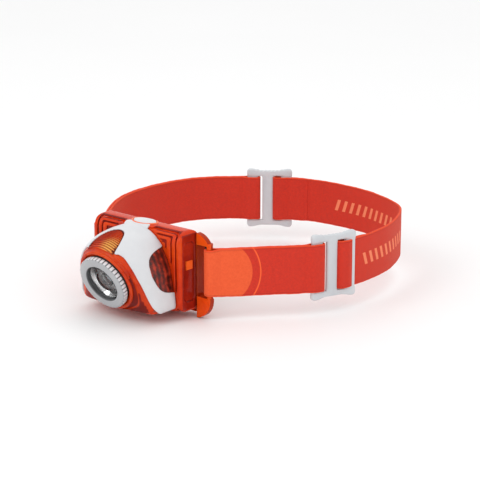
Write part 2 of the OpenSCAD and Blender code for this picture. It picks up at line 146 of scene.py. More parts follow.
def smooth_lookup(x, xs, ys):
    """Monotone cubic through the points (x increasing)."""
    xs, ys = np.asarray(xs, float), np.asarray(ys, float)
    h = np.diff(xs)
    d = np.diff(ys) / h
    m = np.zeros(len(xs))
    m[0], m[-1] = d[0], d[-1]
    for i in range(1, len(xs) - 1):
        m[i] = 0 if d[i - 1] * d[i] <= 0 else 2 * d[i - 1] * d[i] / (d[i - 1] + d[i])
    x = np.clip(x, xs[0], xs[-1])
    k = np.clip(np.searchsorted(xs, x) - 1, 0, len(xs) - 2)
    t = (x - xs[k]) / h[k]
    t2, t3 = t * t, t * t * t
    return ys[k] * (2 * t3 - 3 * t2 + 1) + h[k] * m[k] * (t3 - 2 * t2 + t) + ys[k + 1] * (3 * t2 - 2 * t3) + h[k] * m[k + 1] * (t3 - t2)


def rr_outline(hw, hh, r, n=10, m=6):
    """Rounded rectangle, counter-clockwise seen with x right and z up: corners of n steps, sides of m."""
    pts = []
    cs = [(1, 1, 0), (-1, 1, 90), (-1, -1, 180), (1, -1, 270)]
    corner = []
    for sx, sz, a0 in cs:
        c = np.array([sx * (hw - r), sz * (hh - r)])
        corner.append([c + r * np.array([math.cos(math.radians(a0 + 90 * k / n)), math.sin(math.radians(a0 + 90 * k / n))]) for k in range(n + 1)])
    for i in range(4):
        pts += corner[i]
        a, b = corner[i][-1], corner[(i + 1) % 4][0]
        pts += [a + (b - a) * k / m for k in range(1, m)]
    return np.array(pts)


# ------------------------------------------------------------------ the head's surface (the same rule as the CAD)
TILT = 21.3
HEAD_LEN, COLLAR_R, HEAD_TOP, HEAD_SIDE, HEAD_BELLY = 22.3, 17.6, 21.5, 24.0, 20.0


def section(a):
    s, c = np.sin(a), np.abs(np.cos(a))
    up = HEAD_TOP + (HEAD_SIDE - HEAD_TOP) * np.clip(1 - s, 0, 1) ** 2.6 - 0.5 * np.clip(s, 0, 1) ** 6
    lo = ((HEAD_SIDE / np.maximum(c + 0.18 * np.minimum(s, 0), 0.05)) ** -10.0 + (HEAD_BELLY / np.maximum(-s, 1e-3)) ** -10.0) ** -0.1
    return np.where(s >= 0, up, lo)


def head_pt(a, u):
    a, u = np.broadcast_arrays(np.asarray(a, float), np.asarray(u, float))
    s = np.sin(a)
    uc = np.clip(u, 0, None)
    r = COLLAR_R + (section(a) - COLLAR_R) * (1 - uc ** 6.3)
    lift = 1.2 * np.clip(-s, 0, 1) ** 3 * 4 * uc * uc * (1 - uc * uc)
    v = r * s + lift
    t = math.radians(TILT) * uc ** 3.94
    return np.stack([r * np.cos(a), -HEAD_LEN * u - v * np.sin(t), -3.75 * uc ** 2.8 + v * np.cos(t)], -1)


def head_n(a, u):
    d = 2e-3
    k = np.minimum(np.maximum(u, 0), 1 - d)
    A = head_pt(a + 0.01, u) - head_pt(a - 0.01, u)
    B = head_pt(a, k + d) - head_pt(a, k)
    n = np.cross(A, B)
    return n / np.linalg.norm(n, axis=-1, keepdims=True)


def skin(a, u, off):
    a, u, off = np.broadcast_arrays(np.asarray(a, float), np.asarray(u, float), np.asarray(off, float))
    q = head_pt(a, u) + head_n(a, u) * off[..., None]
    q[..., 1] = np.where(u < 1e-3, -HEAD_LEN * u, q[..., 1])
    return q


# the beam's own frame: x right, y up across the beam, z along the beam, zero at the front of the focus ring
_b = math.radians(90 + TILT)
O_C = np.array([0, -25.66, -5.06])
O_Y = np.array([0, math.cos(_b), math.sin(_b)])
O_Z = np.array([0, -math.sin(_b), math.cos(_b)])


def optic(p):
    p = np.asarray(p, float)
    return O_C + p[..., :1] * np.array([1.0, 0, 0]) + p[..., 1:2] * O_Y + p[..., 2:3] * O_Z


def revolve(name, prof, body, n=96, frame_fn=optic, angle=40, close=True, smooth=True, skip=None):
    """A closed profile of (r, z) turned round the beam."""
    prof = np.asarray(prof, float)
    a = np.arange(n) * 2 * math.pi / n
    rings = []
    for r, z in prof:
        rings.append(np.stack([r * np.cos(a), r * np.sin(a), np.full(n, z)], -1))
    P = frame_fn(np.array(rings).reshape(-1, 3))
    ob = add_mesh(name, P, ring_faces(len(prof), n, closed_rings=close), body)
    outward(ob)
    return sharp(ob, angle) if angle else ob


# ------------------------------------------------------------------ materials
def lin(r, g, b):
    f = lambda c: c / 255 / 12.92 if c / 255 <= 0.04045 else ((c / 255 + 0.055) / 1.055) ** 2.4
    return (f(r), f(g), f(b), 1.0)


class Mat:
    """A small builder for procedural materials."""

    def __init__(self, name):
        self.m = bpy.data.materials.new(name)
        self.m.use_nodes = True
        self.t = self.m.node_tree
        self.p = next(n for n in self.t.nodes if n.type == "BSDF_PRINCIPLED")

    def node(self, kind, **kw):
        n = self.t.nodes.new(kind)
        for k, v in kw.items():
            setattr(n, k, v)
        return n

    def link(self, a, b):
        self.t.links.new(a, b)

    def put(self, socket, v):
        if isinstance(v, (int, float, tuple, list)):
            socket.default_value = v
        else:
            self.link(v, socket)

    def obj(self):
        if not hasattr(self, "_obj"):
            self._obj = self.node("ShaderNodeTexCoord").outputs["Object"]
        return self._obj

    def uv(self):
        if not hasattr(self, "_uv"):
            self._uv = self.node("ShaderNodeUVMap", uv_map="UVMap").outputs["UV"]
        return self._uv

    def sep(self, v):
        return self.node_out("ShaderNodeSeparateXYZ", v)

    def node_out(self, kind, v):
        n = self.node(kind)
        self.link(v, n.inputs[0])
        return n.outputs

    def math(self, op, a, b=None, c=None, clamp=False):
        n = self.node("ShaderNodeMath", operation=op, use_clamp=clamp)
        for i, v in enumerate((a, b, c)):
            if v is not None:
                self.put(n.inputs[i], v)
        return n.outputs[0]

    def noise(self, vec, scale, detail=3, rough=0.55, dist=0.0):
        n = self.node("ShaderNodeTexNoise")
        self.link(vec, n.inputs["Vector"])
        n.inputs["Scale"].default_value = scale
        n.inputs["Detail"].default_value = detail
        n.inputs["Roughness"].default_value = rough
        n.inputs["Distortion"].default_value = dist
        return n.outputs["Fac"]

    def vor(self, vec, scale, feature="F1", rnd=1.0):
        n = self.node("ShaderNodeTexVoronoi", feature=feature)
        self.link(vec, n.inputs["Vector"])
        n.inputs["Scale"].default_value = scale
        n.inputs["Randomness"].default_value = rnd
        return n.outputs["Distance"]

    def ramp(self, fac, stops, interp="LINEAR"):
        n = self.node("ShaderNodeValToRGB")
        n.color_ramp.interpolation = interp
        el = n.color_ramp.elements
        el[0].position, el[0].color = stops[0]
        el[1].position, el[1].color = stops[-1]
        for p, c in stops[1:-1]:
            e = el.new(p)
            e.color = c
        self.link(fac, n.inputs[0])
        return n.outputs[0]

    def mix(self, fac, a, b, blend="MIX"):
        n = self.node("ShaderNodeMix", data_type="RGBA", blend_type=blend)
        self.put(n.inputs[0], fac)
        self.put(n.inputs[6], a)
        self.put(n.inputs[7], b)
        return n.outputs[2]

    def map(self, v, a, b, c, d, smooth=False):
        n = self.node("ShaderNodeMapRange", interpolation_type="SMOOTHSTEP" if smooth else "LINEAR")
        self.put(n.inputs[0], v)
        for i, x in enumerate((a, b, c, d)):
            n.inputs[i + 1].default_value = x
        return n.outputs[0]

    def bump(self, h, dist=0.0001, strength=1.0, normal=None):
        n = self.node("ShaderNodeBump")
        n.inputs["Strength"].default_value = strength
        n.inputs["Distance"].default_value = dist
        self.link(h, n.inputs["Height"])
        if normal is not None:
            self.link(normal, n.inputs["Normal"])
        self.link(n.outputs[0], self.p.inputs["Normal"])
        return n.outputs[0]

    def set(self, **kw):
        for k, v in kw.items():
            self.put(self.p.inputs[k.replace("_", " ")], v)
        return self


def m_plastic(name, col, col2, rough=0.32, grain=900.0, bump=0.000012, coat=0.0, sss=0.0, radius=(0.002, 0.001, 0.0006), spec=0.5):
    """Moulded opaque plastic: a fine spark-eroded grain, faint cloudy colour variation and smoother rubbed patches."""
    M = Mat(name)
    o = M.obj()
    cloud = M.noise(o, 60, 4, 0.6)
    fine = M.noise(o, grain, 2, 0.6)
    big = M.noise(o, 18, 2, 0.5)
    c = M.mix(M.map(cloud, 0.3, 0.7, 0, 1), col, col2)
    M.set(Base_Color=c)
    rr = M.math("ADD", M.map(big, 0.3, 0.7, rough - 0.05, rough + 0.06), M.map(fine, 0.3, 0.7, -0.02, 0.03))
    M.set(Roughness=rr)
    M.p.inputs["Specular IOR Level"].default_value = spec
    M.p.inputs["Coat Weight"].default_value = coat
    M.p.inputs["Coat Roughness"].default_value = 0.12
    if sss:
        M.p.inputs["Subsurface Weight"].default_value = sss
        M.p.inputs["Subsurface Radius"].default_value = radius
        M.p.inputs["Subsurface Scale"].default_value = 1.0
    M.bump(M.math("ADD", M.math("MULTIPLY", fine, 0.7), M.math("MULTIPLY", cloud, 0.3)), bump)
    return M


def m_translucent(name, bright, mid, deep, trans=0.3, rough=0.16, sss=0.5):
    """Translucent orange moulding: the colour deepens in clouds, flow lines run through it, and the skin is glossy."""
    M = Mat(name)
    o = M.obj()
    cloud = M.noise(o, 45, 4, 0.6, 0.6)
    flow = M.noise(o, 140, 3, 0.6, 1.2)
    fine = M.noise(o, 1500, 2, 0.5)
    f = M.math("ADD", M.math("MULTIPLY", cloud, 0.75), M.math("MULTIPLY", flow, 0.25))
    c = M.ramp(f, [(0.32, deep), (0.5, mid), (0.68, bright)])
    M.set(Base_Color=c)
    M.set(Roughness=M.map(cloud, 0.3, 0.7, rough - 0.04, rough + 0.08))
    M.p.inputs["IOR"].default_value = 1.5
    M.p.inputs["Transmission Weight"].default_value = trans
    if sss:
        M.p.inputs["Subsurface Weight"].default_value = sss
        M.p.inputs["Subsurface Radius"].default_value = (0.004, 0.0012, 0.0004)
        M.p.inputs["Subsurface Scale"].default_value = 1.0
    M.p.inputs["Specular IOR Level"].default_value = 0.05
    M.bump(M.math("ADD", M.math("MULTIPLY", flow, 0.8), M.math("MULTIPLY", fine, 0.2)), 0.000025)
    return M


def m_web(name, zones=None, mark=None):
    """Woven elastic webbing. The UV map holds metres along the band (u) and across it (v, zero in the middle).
    zones = (u of the start, sign): the printed light zone with its round edge and thin arc. mark = u of a row of plain bars."""
    M = Mat(name)
    u, v = M.sep(M.uv())[0:2]
    o = M.obj()
    # fine ribs along the band, and weft picks across it, half a pick out from rib to rib
    rib = M.math("SINE", M.math("MULTIPLY", v, 2 * math.pi / 0.00062))
    par = M.math("FLOOR", M.math("MULTIPLY", v, 1 / 0.00062))
    shift = M.math("MULTIPLY", M.math("MODULO", M.math("ABSOLUTE", par), 2.0), math.pi)
    pick = M.math("SINE", M.math("ADD", M.math("MULTIPLY", u, 2 * math.pi / 0.00078), shift))
    weave = M.math("ADD", M.math("MULTIPLY", M.math("ABSOLUTE", rib), 0.55), M.math("MULTIPLY", M.math("MULTIPLY", pick, 0.5), 0.45))
    mottle = M.noise(o, 900, 4, 0.7)
    cloud = M.noise(o, 45, 3, 0.6)
    fuzz = M.noise(o, 2600, 2, 0.6)
    base, dark = lin(214, 50, 32), lin(192, 40, 26)
    c = M.mix(M.map(mottle, 0.35, 0.65, 0, 1), dark, base)
    c = M.mix(M.map(weave, -0.1, 0.6, 0.0, 0.35), c, lin(226, 66, 44))
    c = M.mix(M.map(cloud, 0.3, 0.7, 0.0, 0.12), c, lin(176, 32, 22))
    if zones:
        u0, r1, r2 = zones
        du = M.math("SUBTRACT", u, u0)
        dist = M.math("SQRT", M.math("ADD", M.math("POWER", M.math("SUBTRACT", du, r1[0]), 2.0), M.math("POWER", v, 2.0)))
        inner = M.map(dist, r1[1] - 0.0002, r1[1] + 0.0002, 1, 0)
        left = M.map(du, r1[0] - 0.0001, r1[0], 1, 0)
        zone = M.math("MAXIMUM", inner, left)
        zone = M.math("MULTIPLY", zone, M.map(M.math("ABSOLUTE", v), 0.0119, 0.0122, 1, 0.35))
        light = M.mix(M.map(mottle, 0.35, 0.65, 0, 1), lin(236, 88, 44), lin(244, 100, 54))
        c = M.mix(M.math("MULTIPLY", zone, 0.95), c, light)
        dist2 = M.math("SQRT", M.math("ADD", M.math("POWER", M.math("SUBTRACT", du, r2[0]), 2.0), M.math("POWER", v, 2.0)))
        arc = M.math("MULTIPLY", M.map(M.math("ABSOLUTE", M.math("SUBTRACT", dist2, r2[1])), 0.00028, 0.00042, 1, 0), M.math("GREATER_THAN", du, r2[0]))
        c = M.mix(M.math("MULTIPLY", arc, 0.85), c, lin(255, 104, 52))
    for m0, m1, pitch in mark or []:
        # a plain row of slanted bars, in place of any lettering
        uu = M.math("ADD", M.math("SUBTRACT", u, m0), M.math("MULTIPLY", v, 0.35))
        ph = M.math("FRACT", M.math("DIVIDE", uu, pitch))
        bars = M.math("MULTIPLY", M.math("LESS_THAN", ph, 0.42), M.math("MULTIPLY", M.math("GREATER_THAN", uu, 0.0), M.math("LESS_THAN", uu, m1 - m0)))
        hh = M.math("LESS_THAN", M.math("ABSOLUTE", v), 0.0032)
        c = M.mix(M.math("MULTIPLY", M.math("MULTIPLY", bars, hh), 0.8), c, lin(252, 146, 104))
    # selvedge: a painted highlight along the rolled edge, with painted shade in the groove beside it
    av = M.math("ABSOLUTE", v)
    sel = M.map(av, 0.0118, 0.0121, 0, 1, True)
    groove = M.math("MULTIPLY", M.map(av, 0.0112, 0.0116, 0, 1, True), M.map(av, 0.0117, 0.0120, 1, 0, True))
    c = M.mix(M.math("MULTIPLY", sel, 0.6), c, lin(240, 78, 34))
    # painted shade in the groove
    c = M.mix(M.math("MULTIPLY", groove, 0.25), c, lin(140, 24, 16))
    M.set(Base_Color=c)
    M.set(Roughness=M.map(mottle, 0.3, 0.7, 0.62, 0.8))
    M.p.inputs["Sheen Weight"].default_value = 0.25
    M.p.inputs["Sheen Roughness"].default_value = 0.45
    M.p.inputs["Sheen Tint"].default_value = lin(255, 150, 110)
    M.p.inputs["Specular IOR Level"].default_value = 0.25
    h = M.math("ADD", M.math("ADD", weave, M.math("MULTIPLY", mottle, 0.8)), M.math("MULTIPLY", fuzz, 0.35))
    h = M.math("SUBTRACT", h, M.math("MULTIPLY", groove, 1.2))
    M.bump(h, 0.00012, 0.8)
    return M


def m_metal(name, col, rough=0.3, dirn=(1, 1, 40), metal=1.0):
    M = Mat(name)
    mp = M.node("ShaderNodeMapping")
    M.link(M.obj(), mp.inputs[0])
    mp.inputs["Scale"].default_value = dirn
    s = M.noise(mp.outputs[0], 300, 3, 0.6)
    cloud = M.noise(M.obj(), 120, 3, 0.6)
    M.set(Base_Color=M.mix(M.map(cloud, 0.3, 0.7, 0, 1), tuple(0.86 * x for x in col[:3]) + (1,), col))
    M.set(Roughness=M.map(s, 0.3, 0.7, rough - 0.08, rough + 0.1))
    M.p.inputs["Metallic"].default_value = metal
    M.bump(s, 0.00001)
    return M


def m_foam(name):
    M = Mat(name)
    o = M.obj()
    cell = M.vor(o, 1700)
    mott = M.noise(o, 240, 4, 0.65)
    M.set(Base_Color=M.mix(M.map(mott, 0.35, 0.65, 0, 1), lin(26, 26, 28), lin(48, 48, 50)))
    M.set(Roughness=M.map(cell, 0.0, 0.6, 0.75, 0.95))
    M.p.inputs["Specular IOR Level"].default_value = 0.3
    M.p.inputs["Sheen Weight"].default_value = 0.2
    M.bump(M.math("ADD", M.math("MULTIPLY", cell, 0.6), M.math("MULTIPLY", mott, 0.8)), 0.00018)
    return M


def m_board(name, a, b):
    """A solder-masked board: tracks under the mask and tinned pads."""
    M = Mat(name)
    o = M.obj()
    x, y, z = M.sep(o)[0:3]
    brick = M.node("ShaderNodeTexBrick")
    M.link(o, brick.inputs["Vector"])
    brick.inputs["Scale"].default_value = 220
    brick.inputs["Mortar Size"].default_value = 0.03
    track = M.math("LESS_THAN", M.vor(o, 420, "F1"), 0.34)
    pads = M.math("LESS_THAN", M.vor(o, 330, "F1"), 0.16)
    c = M.mix(M.math("MULTIPLY", track, 0.5), a, b)
    c = M.mix(pads, c, lin(196, 196, 188))
    M.set(Base_Color=c)
    M.set(Roughness=M.map(M.noise(o, 300, 3), 0.3, 0.7, 0.25, 0.42))
    M.bump(M.math("ADD", track, pads), 0.00004)
    return M


def m_glass(name, tint=(0.93, 0.95, 0.96, 1), rough=0.02, alpha=1.0):
    M = Mat(name)
    o = M.obj()
    n = M.noise(o, 90, 3, 0.5)
    M.set(Base_Color=M.mix(M.map(n, 0.3, 0.7, 0, 1), tint, tuple(0.97 * c for c in tint[:3]) + (1,)))
    M.p.inputs["Transmission Weight"].default_value = 1.0
    M.p.inputs["IOR"].default_value = 1.49
    M.set(Roughness=M.map(n, 0.3, 0.7, rough, rough + 0.03))
    M.bump(M.noise(o, 700, 2), 0.000003)
    return M


WHITE = m_plastic("white_shell", lin(216, 217, 219), lin(206, 207, 210), 0.36, 1400, 0.000010, coat=0.1)
GREY = m_plastic("ring_grey", lin(168, 169, 171), lin(156, 157, 160), 0.42, 1600, 0.000014)


def m_ring():
    """Grey focus ring with painted light: painted shade down in the knurl's gaps, a painted highlight on the tooth
    tops, and painted shade at the inner lip and deep behind the front.
    """
    M = m_plastic("ring_grey_knurled", lin(176, 177, 179), lin(164, 165, 168), 0.38, 1600, 0.000014)
    c = M.p.inputs["Base Color"].links[0].from_socket
    sub = M.node("ShaderNodeVectorMath", operation="SUBTRACT")
    M.link(M.obj(), sub.inputs[0])
    sub.inputs[1].default_value = tuple(float(x) for x in W(O_C))
    dz = M.node("ShaderNodeVectorMath", operation="DOT_PRODUCT")
    M.link(sub.outputs[0], dz.inputs[0])
    dz.inputs[1].default_value = tuple(float(x) for x in O_Z)
    ln = M.node("ShaderNodeVectorMath", operation="LENGTH")
    M.link(sub.outputs[0], ln.inputs[0])
    z = dz.outputs["Value"]
    r = M.math("SQRT", M.math("SUBTRACT", M.math("POWER", ln.outputs["Value"], 2.0), M.math("POWER", z, 2.0)))
    # painted shade in the knurl's gaps (gap) and at the ring's inner lip (lip)
    gap = M.math("MULTIPLY", M.map(r, 0.01405, 0.0143, 1, 0, True), M.math("MULTIPLY", M.math("GREATER_THAN", r, 0.01375), M.math("LESS_THAN", z, -0.00042)))
    lip = M.map(r, 0.0100, 0.0104, 1, 0, True)
    c = M.mix(M.math("MULTIPLY", gap, 0.5), c, lin(66, 66, 68))
    # painted highlight on the tooth tops
    c = M.mix(M.math("MULTIPLY", M.map(r, 0.0143, 0.0145, 0, 1, True), 0.8), c, lin(226, 226, 228))
    c = M.mix(M.math("MULTIPLY", lip, 0.7), c, lin(60, 60, 62))
    # painted shade deep behind the front
    c = M.mix(M.math("MULTIPLY", M.math("LESS_THAN", z, -0.0031), 0.8), c, lin(30, 30, 32))
    M.set(Base_Color=c)
    return M


BUCKLE = m_plastic("buckle_grey", lin(206, 209, 212), lin(192, 196, 200), 0.38, 1500, 0.000012)
BLACK = m_plastic("black_plastic", lin(30, 30, 32), lin(20, 20, 22), 0.35, 1500, 0.000014)
BARREL = m_plastic("barrel_grey", lin(104, 105, 107), lin(88, 89, 92), 0.45, 1500, 0.000014)
RUBBER = m_plastic("seal_rubber", lin(28, 28, 28), lin(18, 18, 18), 0.6, 2200, 0.00002)
RIM = m_plastic("rim_orange", lin(248, 110, 44), lin(236, 92, 34), 0.35, 1400, 0.00001, sss=0.3)
CASE = m_translucent("case_orange", lin(246, 88, 24), lin(232, 64, 16), lin(202, 42, 12), 0.25, 0.12, 0.0)
# a darker copy of the case's orange: painted shade on the case's sides
CASE_SIDE_SHADE = m_translucent("case_side_shade", lin(206, 54, 26), lin(170, 38, 22), lin(128, 26, 16), 0.25, 0.12, 0.0)
# painted shade for the case's recessed channels and the groove round the collar
CASE_CHANNEL_SHADE = m_translucent("case_channel_shade", lin(170, 34, 14), lin(140, 24, 10), lin(96, 16, 8), 0.25, 0.12, 0.0)
HOUSING = m_translucent("housing_orange", lin(250, 96, 22), lin(236, 70, 16), lin(206, 44, 12), 0.35, 0.1, 0.0)
BRACKET = m_translucent("bracket_orange", lin(252, 102, 26), lin(246, 86, 22), lin(226, 64, 18), 0.2, 0.14, 0.2)
PRISM = m_translucent("prism_orange", lin(250, 104, 30), lin(230, 70, 20), lin(190, 44, 14), 0.2, 0.1, 0.0)


def m_inner():
    """The dark inner parts of the head behind its side windows, painted onto the housing with painted shade for the dim
    inside of the head: upright dark ribs and blotches.
    """
    M = Mat("housing_inner_dark_and_shade")
    o = M.obj()
    x, y, z = M.sep(o)[0:3]
    rib = M.math("SINE", M.math("MULTIPLY", y, 2 * math.pi / 0.0031))
    blot = M.noise(o, 330, 3, 0.6)
    f = M.math("ADD", M.math("MULTIPLY", rib, 0.11), blot)
    M.set(Base_Color=M.ramp(f, [(0.3, lin(46, 15, 10)), (0.5, lin(104, 26, 14)), (0.72, lin(176, 50, 22))]))
    M.set(Roughness=M.map(blot, 0.3, 0.7, 0.3, 0.5))
    M.bump(f, 0.0001)
    return M


def tune_prism(M):
    """Fine cross ribs with painted shade in their valleys, painted shade along a toothed border, and a painted
    highlight where the reflector shines through.
    """
    c = M.p.inputs["Base Color"].links[0].from_socket
    o = M.obj()
    x, y, z = M.sep(o)[0:3]
    u, v = M.sep(M.uv())[0:2]
    # painted highlight: a bright patch round the point where the reflector shows through
    sub = M.node("ShaderNodeVectorMath", operation="DISTANCE")
    M.link(o, sub.inputs[0])
    sub.inputs[1].default_value = tuple(float(q) for q in W([4.6, -24.0, 15.8]))
    reflector_highlight = M.map(sub.outputs["Value"], 0.0012, 0.0075, 1, 0, True)
    c = M.mix(M.math("MULTIPLY", reflector_highlight, 0.85), c, lin(255, 196, 96))
    # painted shade in the rib valleys
    ph = M.math("FRACT", M.math("DIVIDE", M.math("ADD", y, FY * MM), -0.0011))
    line = M.math("GREATER_THAN", ph, 0.66)
    c = M.mix(M.math("MULTIPLY", line, 0.7), c, lin(150, 36, 12))
    # painted shade along the toothed border of the inset panel
    saw = M.math("MULTIPLY", M.math("GREATER_THAN", M.math("FRACT", M.math("DIVIDE", M.math("ADD", y, FY * MM), -0.0016)), 0.5), 0.04)
    eu = M.math("MINIMUM", u, M.math("SUBTRACT", 1.0, u))
    border_shade = M.math("LESS_THAN", eu, M.math("ADD", saw, 0.06))
    border_shade = M.math("MAXIMUM", border_shade, M.math("LESS_THAN", v, 0.1))
    c = M.mix(M.math("MULTIPLY", border_shade, 0.85), c, lin(96, 20, 10))
    M.set(Base_Color=c)
    return M
WINDOW = m_translucent("window_orange", lin(255, 116, 44), lin(250, 100, 36), lin(238, 86, 30), 0.1, 0.2, 0.0)
STEEL = m_metal("steel", lin(205, 205, 207), 0.28)
ALU = m_metal("aluminium", lin(198, 199, 202), 0.35)
CHROME = m_metal("reflector", lin(150, 151, 154), 0.16)
FOAM = m_foam("foam")
GREEN = m_board("board_green", lin(18, 74, 40), lin(30, 100, 54))
WBOARD = m_board("board_white", lin(228, 228, 222), lin(208, 208, 200))
LENS = m_glass("lens_clear", (0.86, 0.87, 0.88, 1))
LED = m_plastic("led_phosphor", lin(246, 222, 96), lin(240, 208, 70), 0.3, 1500, 0.00001)
RED = m_plastic("wire_red", lin(180, 22, 20), lin(160, 16, 16), 0.4, 1500, 0.00001)


KNURL = m_ring()
INNER_DARK_AND_SHADE = m_inner()
tune_prism(PRISM)


def paint(ob, M):
    ob.data.materials.clear()
    ob.data.materials.append(M.m)
    return ob


def second(ob, M, test):
    """A second material where test says so, by each face's centre in millimetres and its normal."""
    ob.data.materials.append(M.m)
    k = len(ob.data.materials) - 1
    for f in ob.data.polygons:
        c = f.center
        if test((c.x / MM, c.y / MM + FY, c.z / MM), f.normal):
            f.material_index = k


# ------------------------------------------------------------------ piece helpers
def finish_piece(ob, mat, slot, *nodes, ang=None):
    if ang is not None:
        sharp(ob, ang)
    paint(ob, mat)
    if nodes:
        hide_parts(*nodes)
    return ob


def join_parts(name, parts, body):
    """Several closed shells as one object: parts are (verts in mm, faces)."""
    V, F, o = [], [], 0
    for v, f in parts:
        V.append(np.asarray(v, float))
        F += [tuple(i + o for i in q) for q in f]
        o += len(v)
    return add_mesh(name, np.concatenate(V), F, body)


def rounded_block(c, h, r, n=3):
    """A block with rounded edges: centre, half sizes, edge radius."""
    c, h = np.asarray(c, float), np.asarray(h, float)
    r = min(r, *(h - 1e-4))
    out = rr_outline(h[0], h[1], r, n=n, m=2)
    rings = []
    for k in range(n + 1):
        t = math.radians(90 * k / n)
        rings.append((r * (1 - math.sin(t)), -h[2] + r * (1 - math.cos(t)) if False else -h[2] + r - r * math.cos(t)))
    prof = [(r * (1 - math.sin(math.radians(90 * k / n))), -h[2] + r - r * math.cos(math.radians(90 * k / n))) for k in range(n + 1)]
    prof += [(d, -z) for d, z in prof[::-1]]
    V = []
    for d, z in prof:
        s = np.array([(h[0] - d) / h[0], (h[1] - d) / h[1]])
        V.append(np.column_stack([out * s, np.full(len(out), z)]))
    N = len(out)
    V = np.concatenate(V) + c
    F = ring_faces(len(prof), N)
    F.append(tuple(range(N))[::-1])
    F.append(tuple(range((len(prof) - 1) * N, len(prof) * N)))
    return V, F


def rod(a, b, r, n=20, cap=0.25):
    """A round rod with eased ends."""
    a, b = np.asarray(a, float), np.asarray(b, float)
    d = (b - a) / np.linalg.norm(b - a)
    x = np.cross(d, [0, 0, 1.0] if abs(d[2]) < 0.9 else [1.0, 0, 0])
    x /= np.linalg.norm(x)
    y = np.cross(d, x)
    L = np.linalg.norm(b - a)
    prof = [(r - cap, 0), (r - cap * 0.3, cap * 0.3), (r, cap), (r, L - cap), (r - cap * 0.3, L - cap * 0.3), (r - cap, L)]
    V = [a + d * z + rr * (math.cos(2 * math.pi * i / n) * x + math.sin(2 * math.pi * i / n) * y) for rr, z in prof for i in range(n)]
    F = ring_faces(len(prof), n)
    F.append(tuple(range(n))[::-1])
    F.append(tuple(range((len(prof) - 1) * n, len(prof) * n)))
    return np.array(V), F


def tooth(x, w=0.78, s=0.1):
    """A flat-topped tooth over one pitch, x from 0 to 1."""
    d = np.abs(x - 0.5)
    return 1 - np.clip((d - (w / 2 - s / 2)) / s, 0, 1) ** 2 * (3 - 2 * np.clip((d - (w / 2 - s / 2)) / s, 0, 1))


# ------------------------------------------------------------------ white shell
SF = ([-37, -33, -28, -21, -7, 11, 31, 44, 54, 60, 66, 77, 82, 86, 90], [.45, .61, .75, .81, .86, .895, .9, .895, .91, .935, .8, .575, .52, .5, .495])
SB = ([-37, -21.5, -20, -18, -13, -4, 5, 15, 22, 27, 30, 33, 35, 36, 90], [0, 0, .17, .31, .45, .55, .6, .59, .55, .47, .36, .18, .02, 0, 0])


def shell_front(deg):
    b = np.where(deg > 90, 180 - deg, deg)
    return smooth_lookup(b, *SF)


def shell_back(deg):
    b = np.where(deg > 90, 180 - deg, deg)
    return smooth_lookup(b, *SB)


def build_shell():
    R = 508
    deg = np.linspace(-37, 217, R + 1)
    b, f = shell_back(deg), shell_front(deg)
    rim = [(0.0, -0.74), (0.0, -0.34), (0.003, -0.2), (0.008, -0.09), (0.015, -0.025), (0.025, 0)]
    inner = np.linspace(0, 1, 26)[1:-1]
    prof = []
    for du, o in rim:
        prof.append((b + du * np.minimum((f - b) * 6, 1), np.full(R + 1, o)))
    lo, hi = b + 0.025, f - 0.025
    for t in inner:
        prof.append((lo + (hi - lo) * t, np.zeros(R + 1)))
    for du, o in rim[::-1]:
        prof.append((f - du, np.full(R + 1, o)))
    for t in (0.75, 0.5, 0.25):
        prof.append((b + (f - b) * t, np.full(R + 1, -0.74)))
    n = len(prof)
    U = np.stack([p[0] for p in prof], 1)
    O = np.stack([p[1] for p in prof], 1)
    # the two ends of the strip turn down too
    for k, d in ((0, -0.5), (1, -0.16), (2, -0.05)):
        O[k] += np.where(O[k] > -0.6, d, 0)
        O[-1 - k] += np.where(O[-1 - k] > -0.6, d, 0)
    A = np.radians(deg)[:, None] * np.ones((1, n))
    V = skin(A, np.maximum(U, 0.0), O).reshape(-1, 3)
    F = ring_faces(R + 1, n)
    F.append(tuple(range(n)))
    F.append(tuple(range(R * n, (R + 1) * n))[::-1])
    ob = outward(add_mesh("white_shell", V, F, "lamp"))
    return finish_piece(ob, WHITE, "white_shell", "shell_cover", ang=50)


def build_tab():
    """The shell's tongue on top of the case, in front of the button."""
    X = np.linspace(-7.9, 7.9, 49)
    T = np.linspace(0, 1, 15)
    V = []
    for x in X:
        yb = min(8.9 - math.sqrt(max(8.25 ** 2 - x * x, 0)), 2.9)
        yb = max(min(yb, 2.9 * (1 - (abs(x) / 8.0) ** 14)), 0.05)
        a = math.acos(max(-1, min(1, x / 21.1)))
        zs = float(skin(a, 0.0, 0.0)[2])
        for t in T:
            y = -0.9 + (yb + 0.9) * t
            top = 20.99 - (max(0, 0.9 - y) ** 2) * 0.35
            z = max(zs, top)
            edge = min(1.0, (1 - t) * (yb + 0.9) / 0.45, (7.9 - abs(x)) / 0.4)
            z += 0.04 + 0.22 * (1 - (1 - edge) ** 2) ** 0.5 * (1 if y > -0.2 else max(0, (y + 0.9) / 0.7))
            V.append([x, y, z])
    V = np.array(V)
    lowr = V.copy()
    lowr[:, 2] -= 0.7
    n = len(V)
    F = grid_faces(len(X), len(T), 0, True) + grid_faces(len(X), len(T), n, False)
    m = len(T)
    for i in range(len(X) - 1):
        for j in (0, m - 1):
            q = (i * m + j, (i + 1) * m + j, n + (i + 1) * m + j, n + i * m + j)
            F.append(q)
    for j in range(m - 1):
        for i in (0, len(X) - 1):
            F.append((i * m + j, i * m + j + 1, n + i * m + j + 1, n + i * m + j))
    ob = outward(add_mesh("white_shell_tab", np.concatenate([V, lowr]), F, "lamp"))
    return finish_piece(ob, WHITE, "white_shell", ang=60)


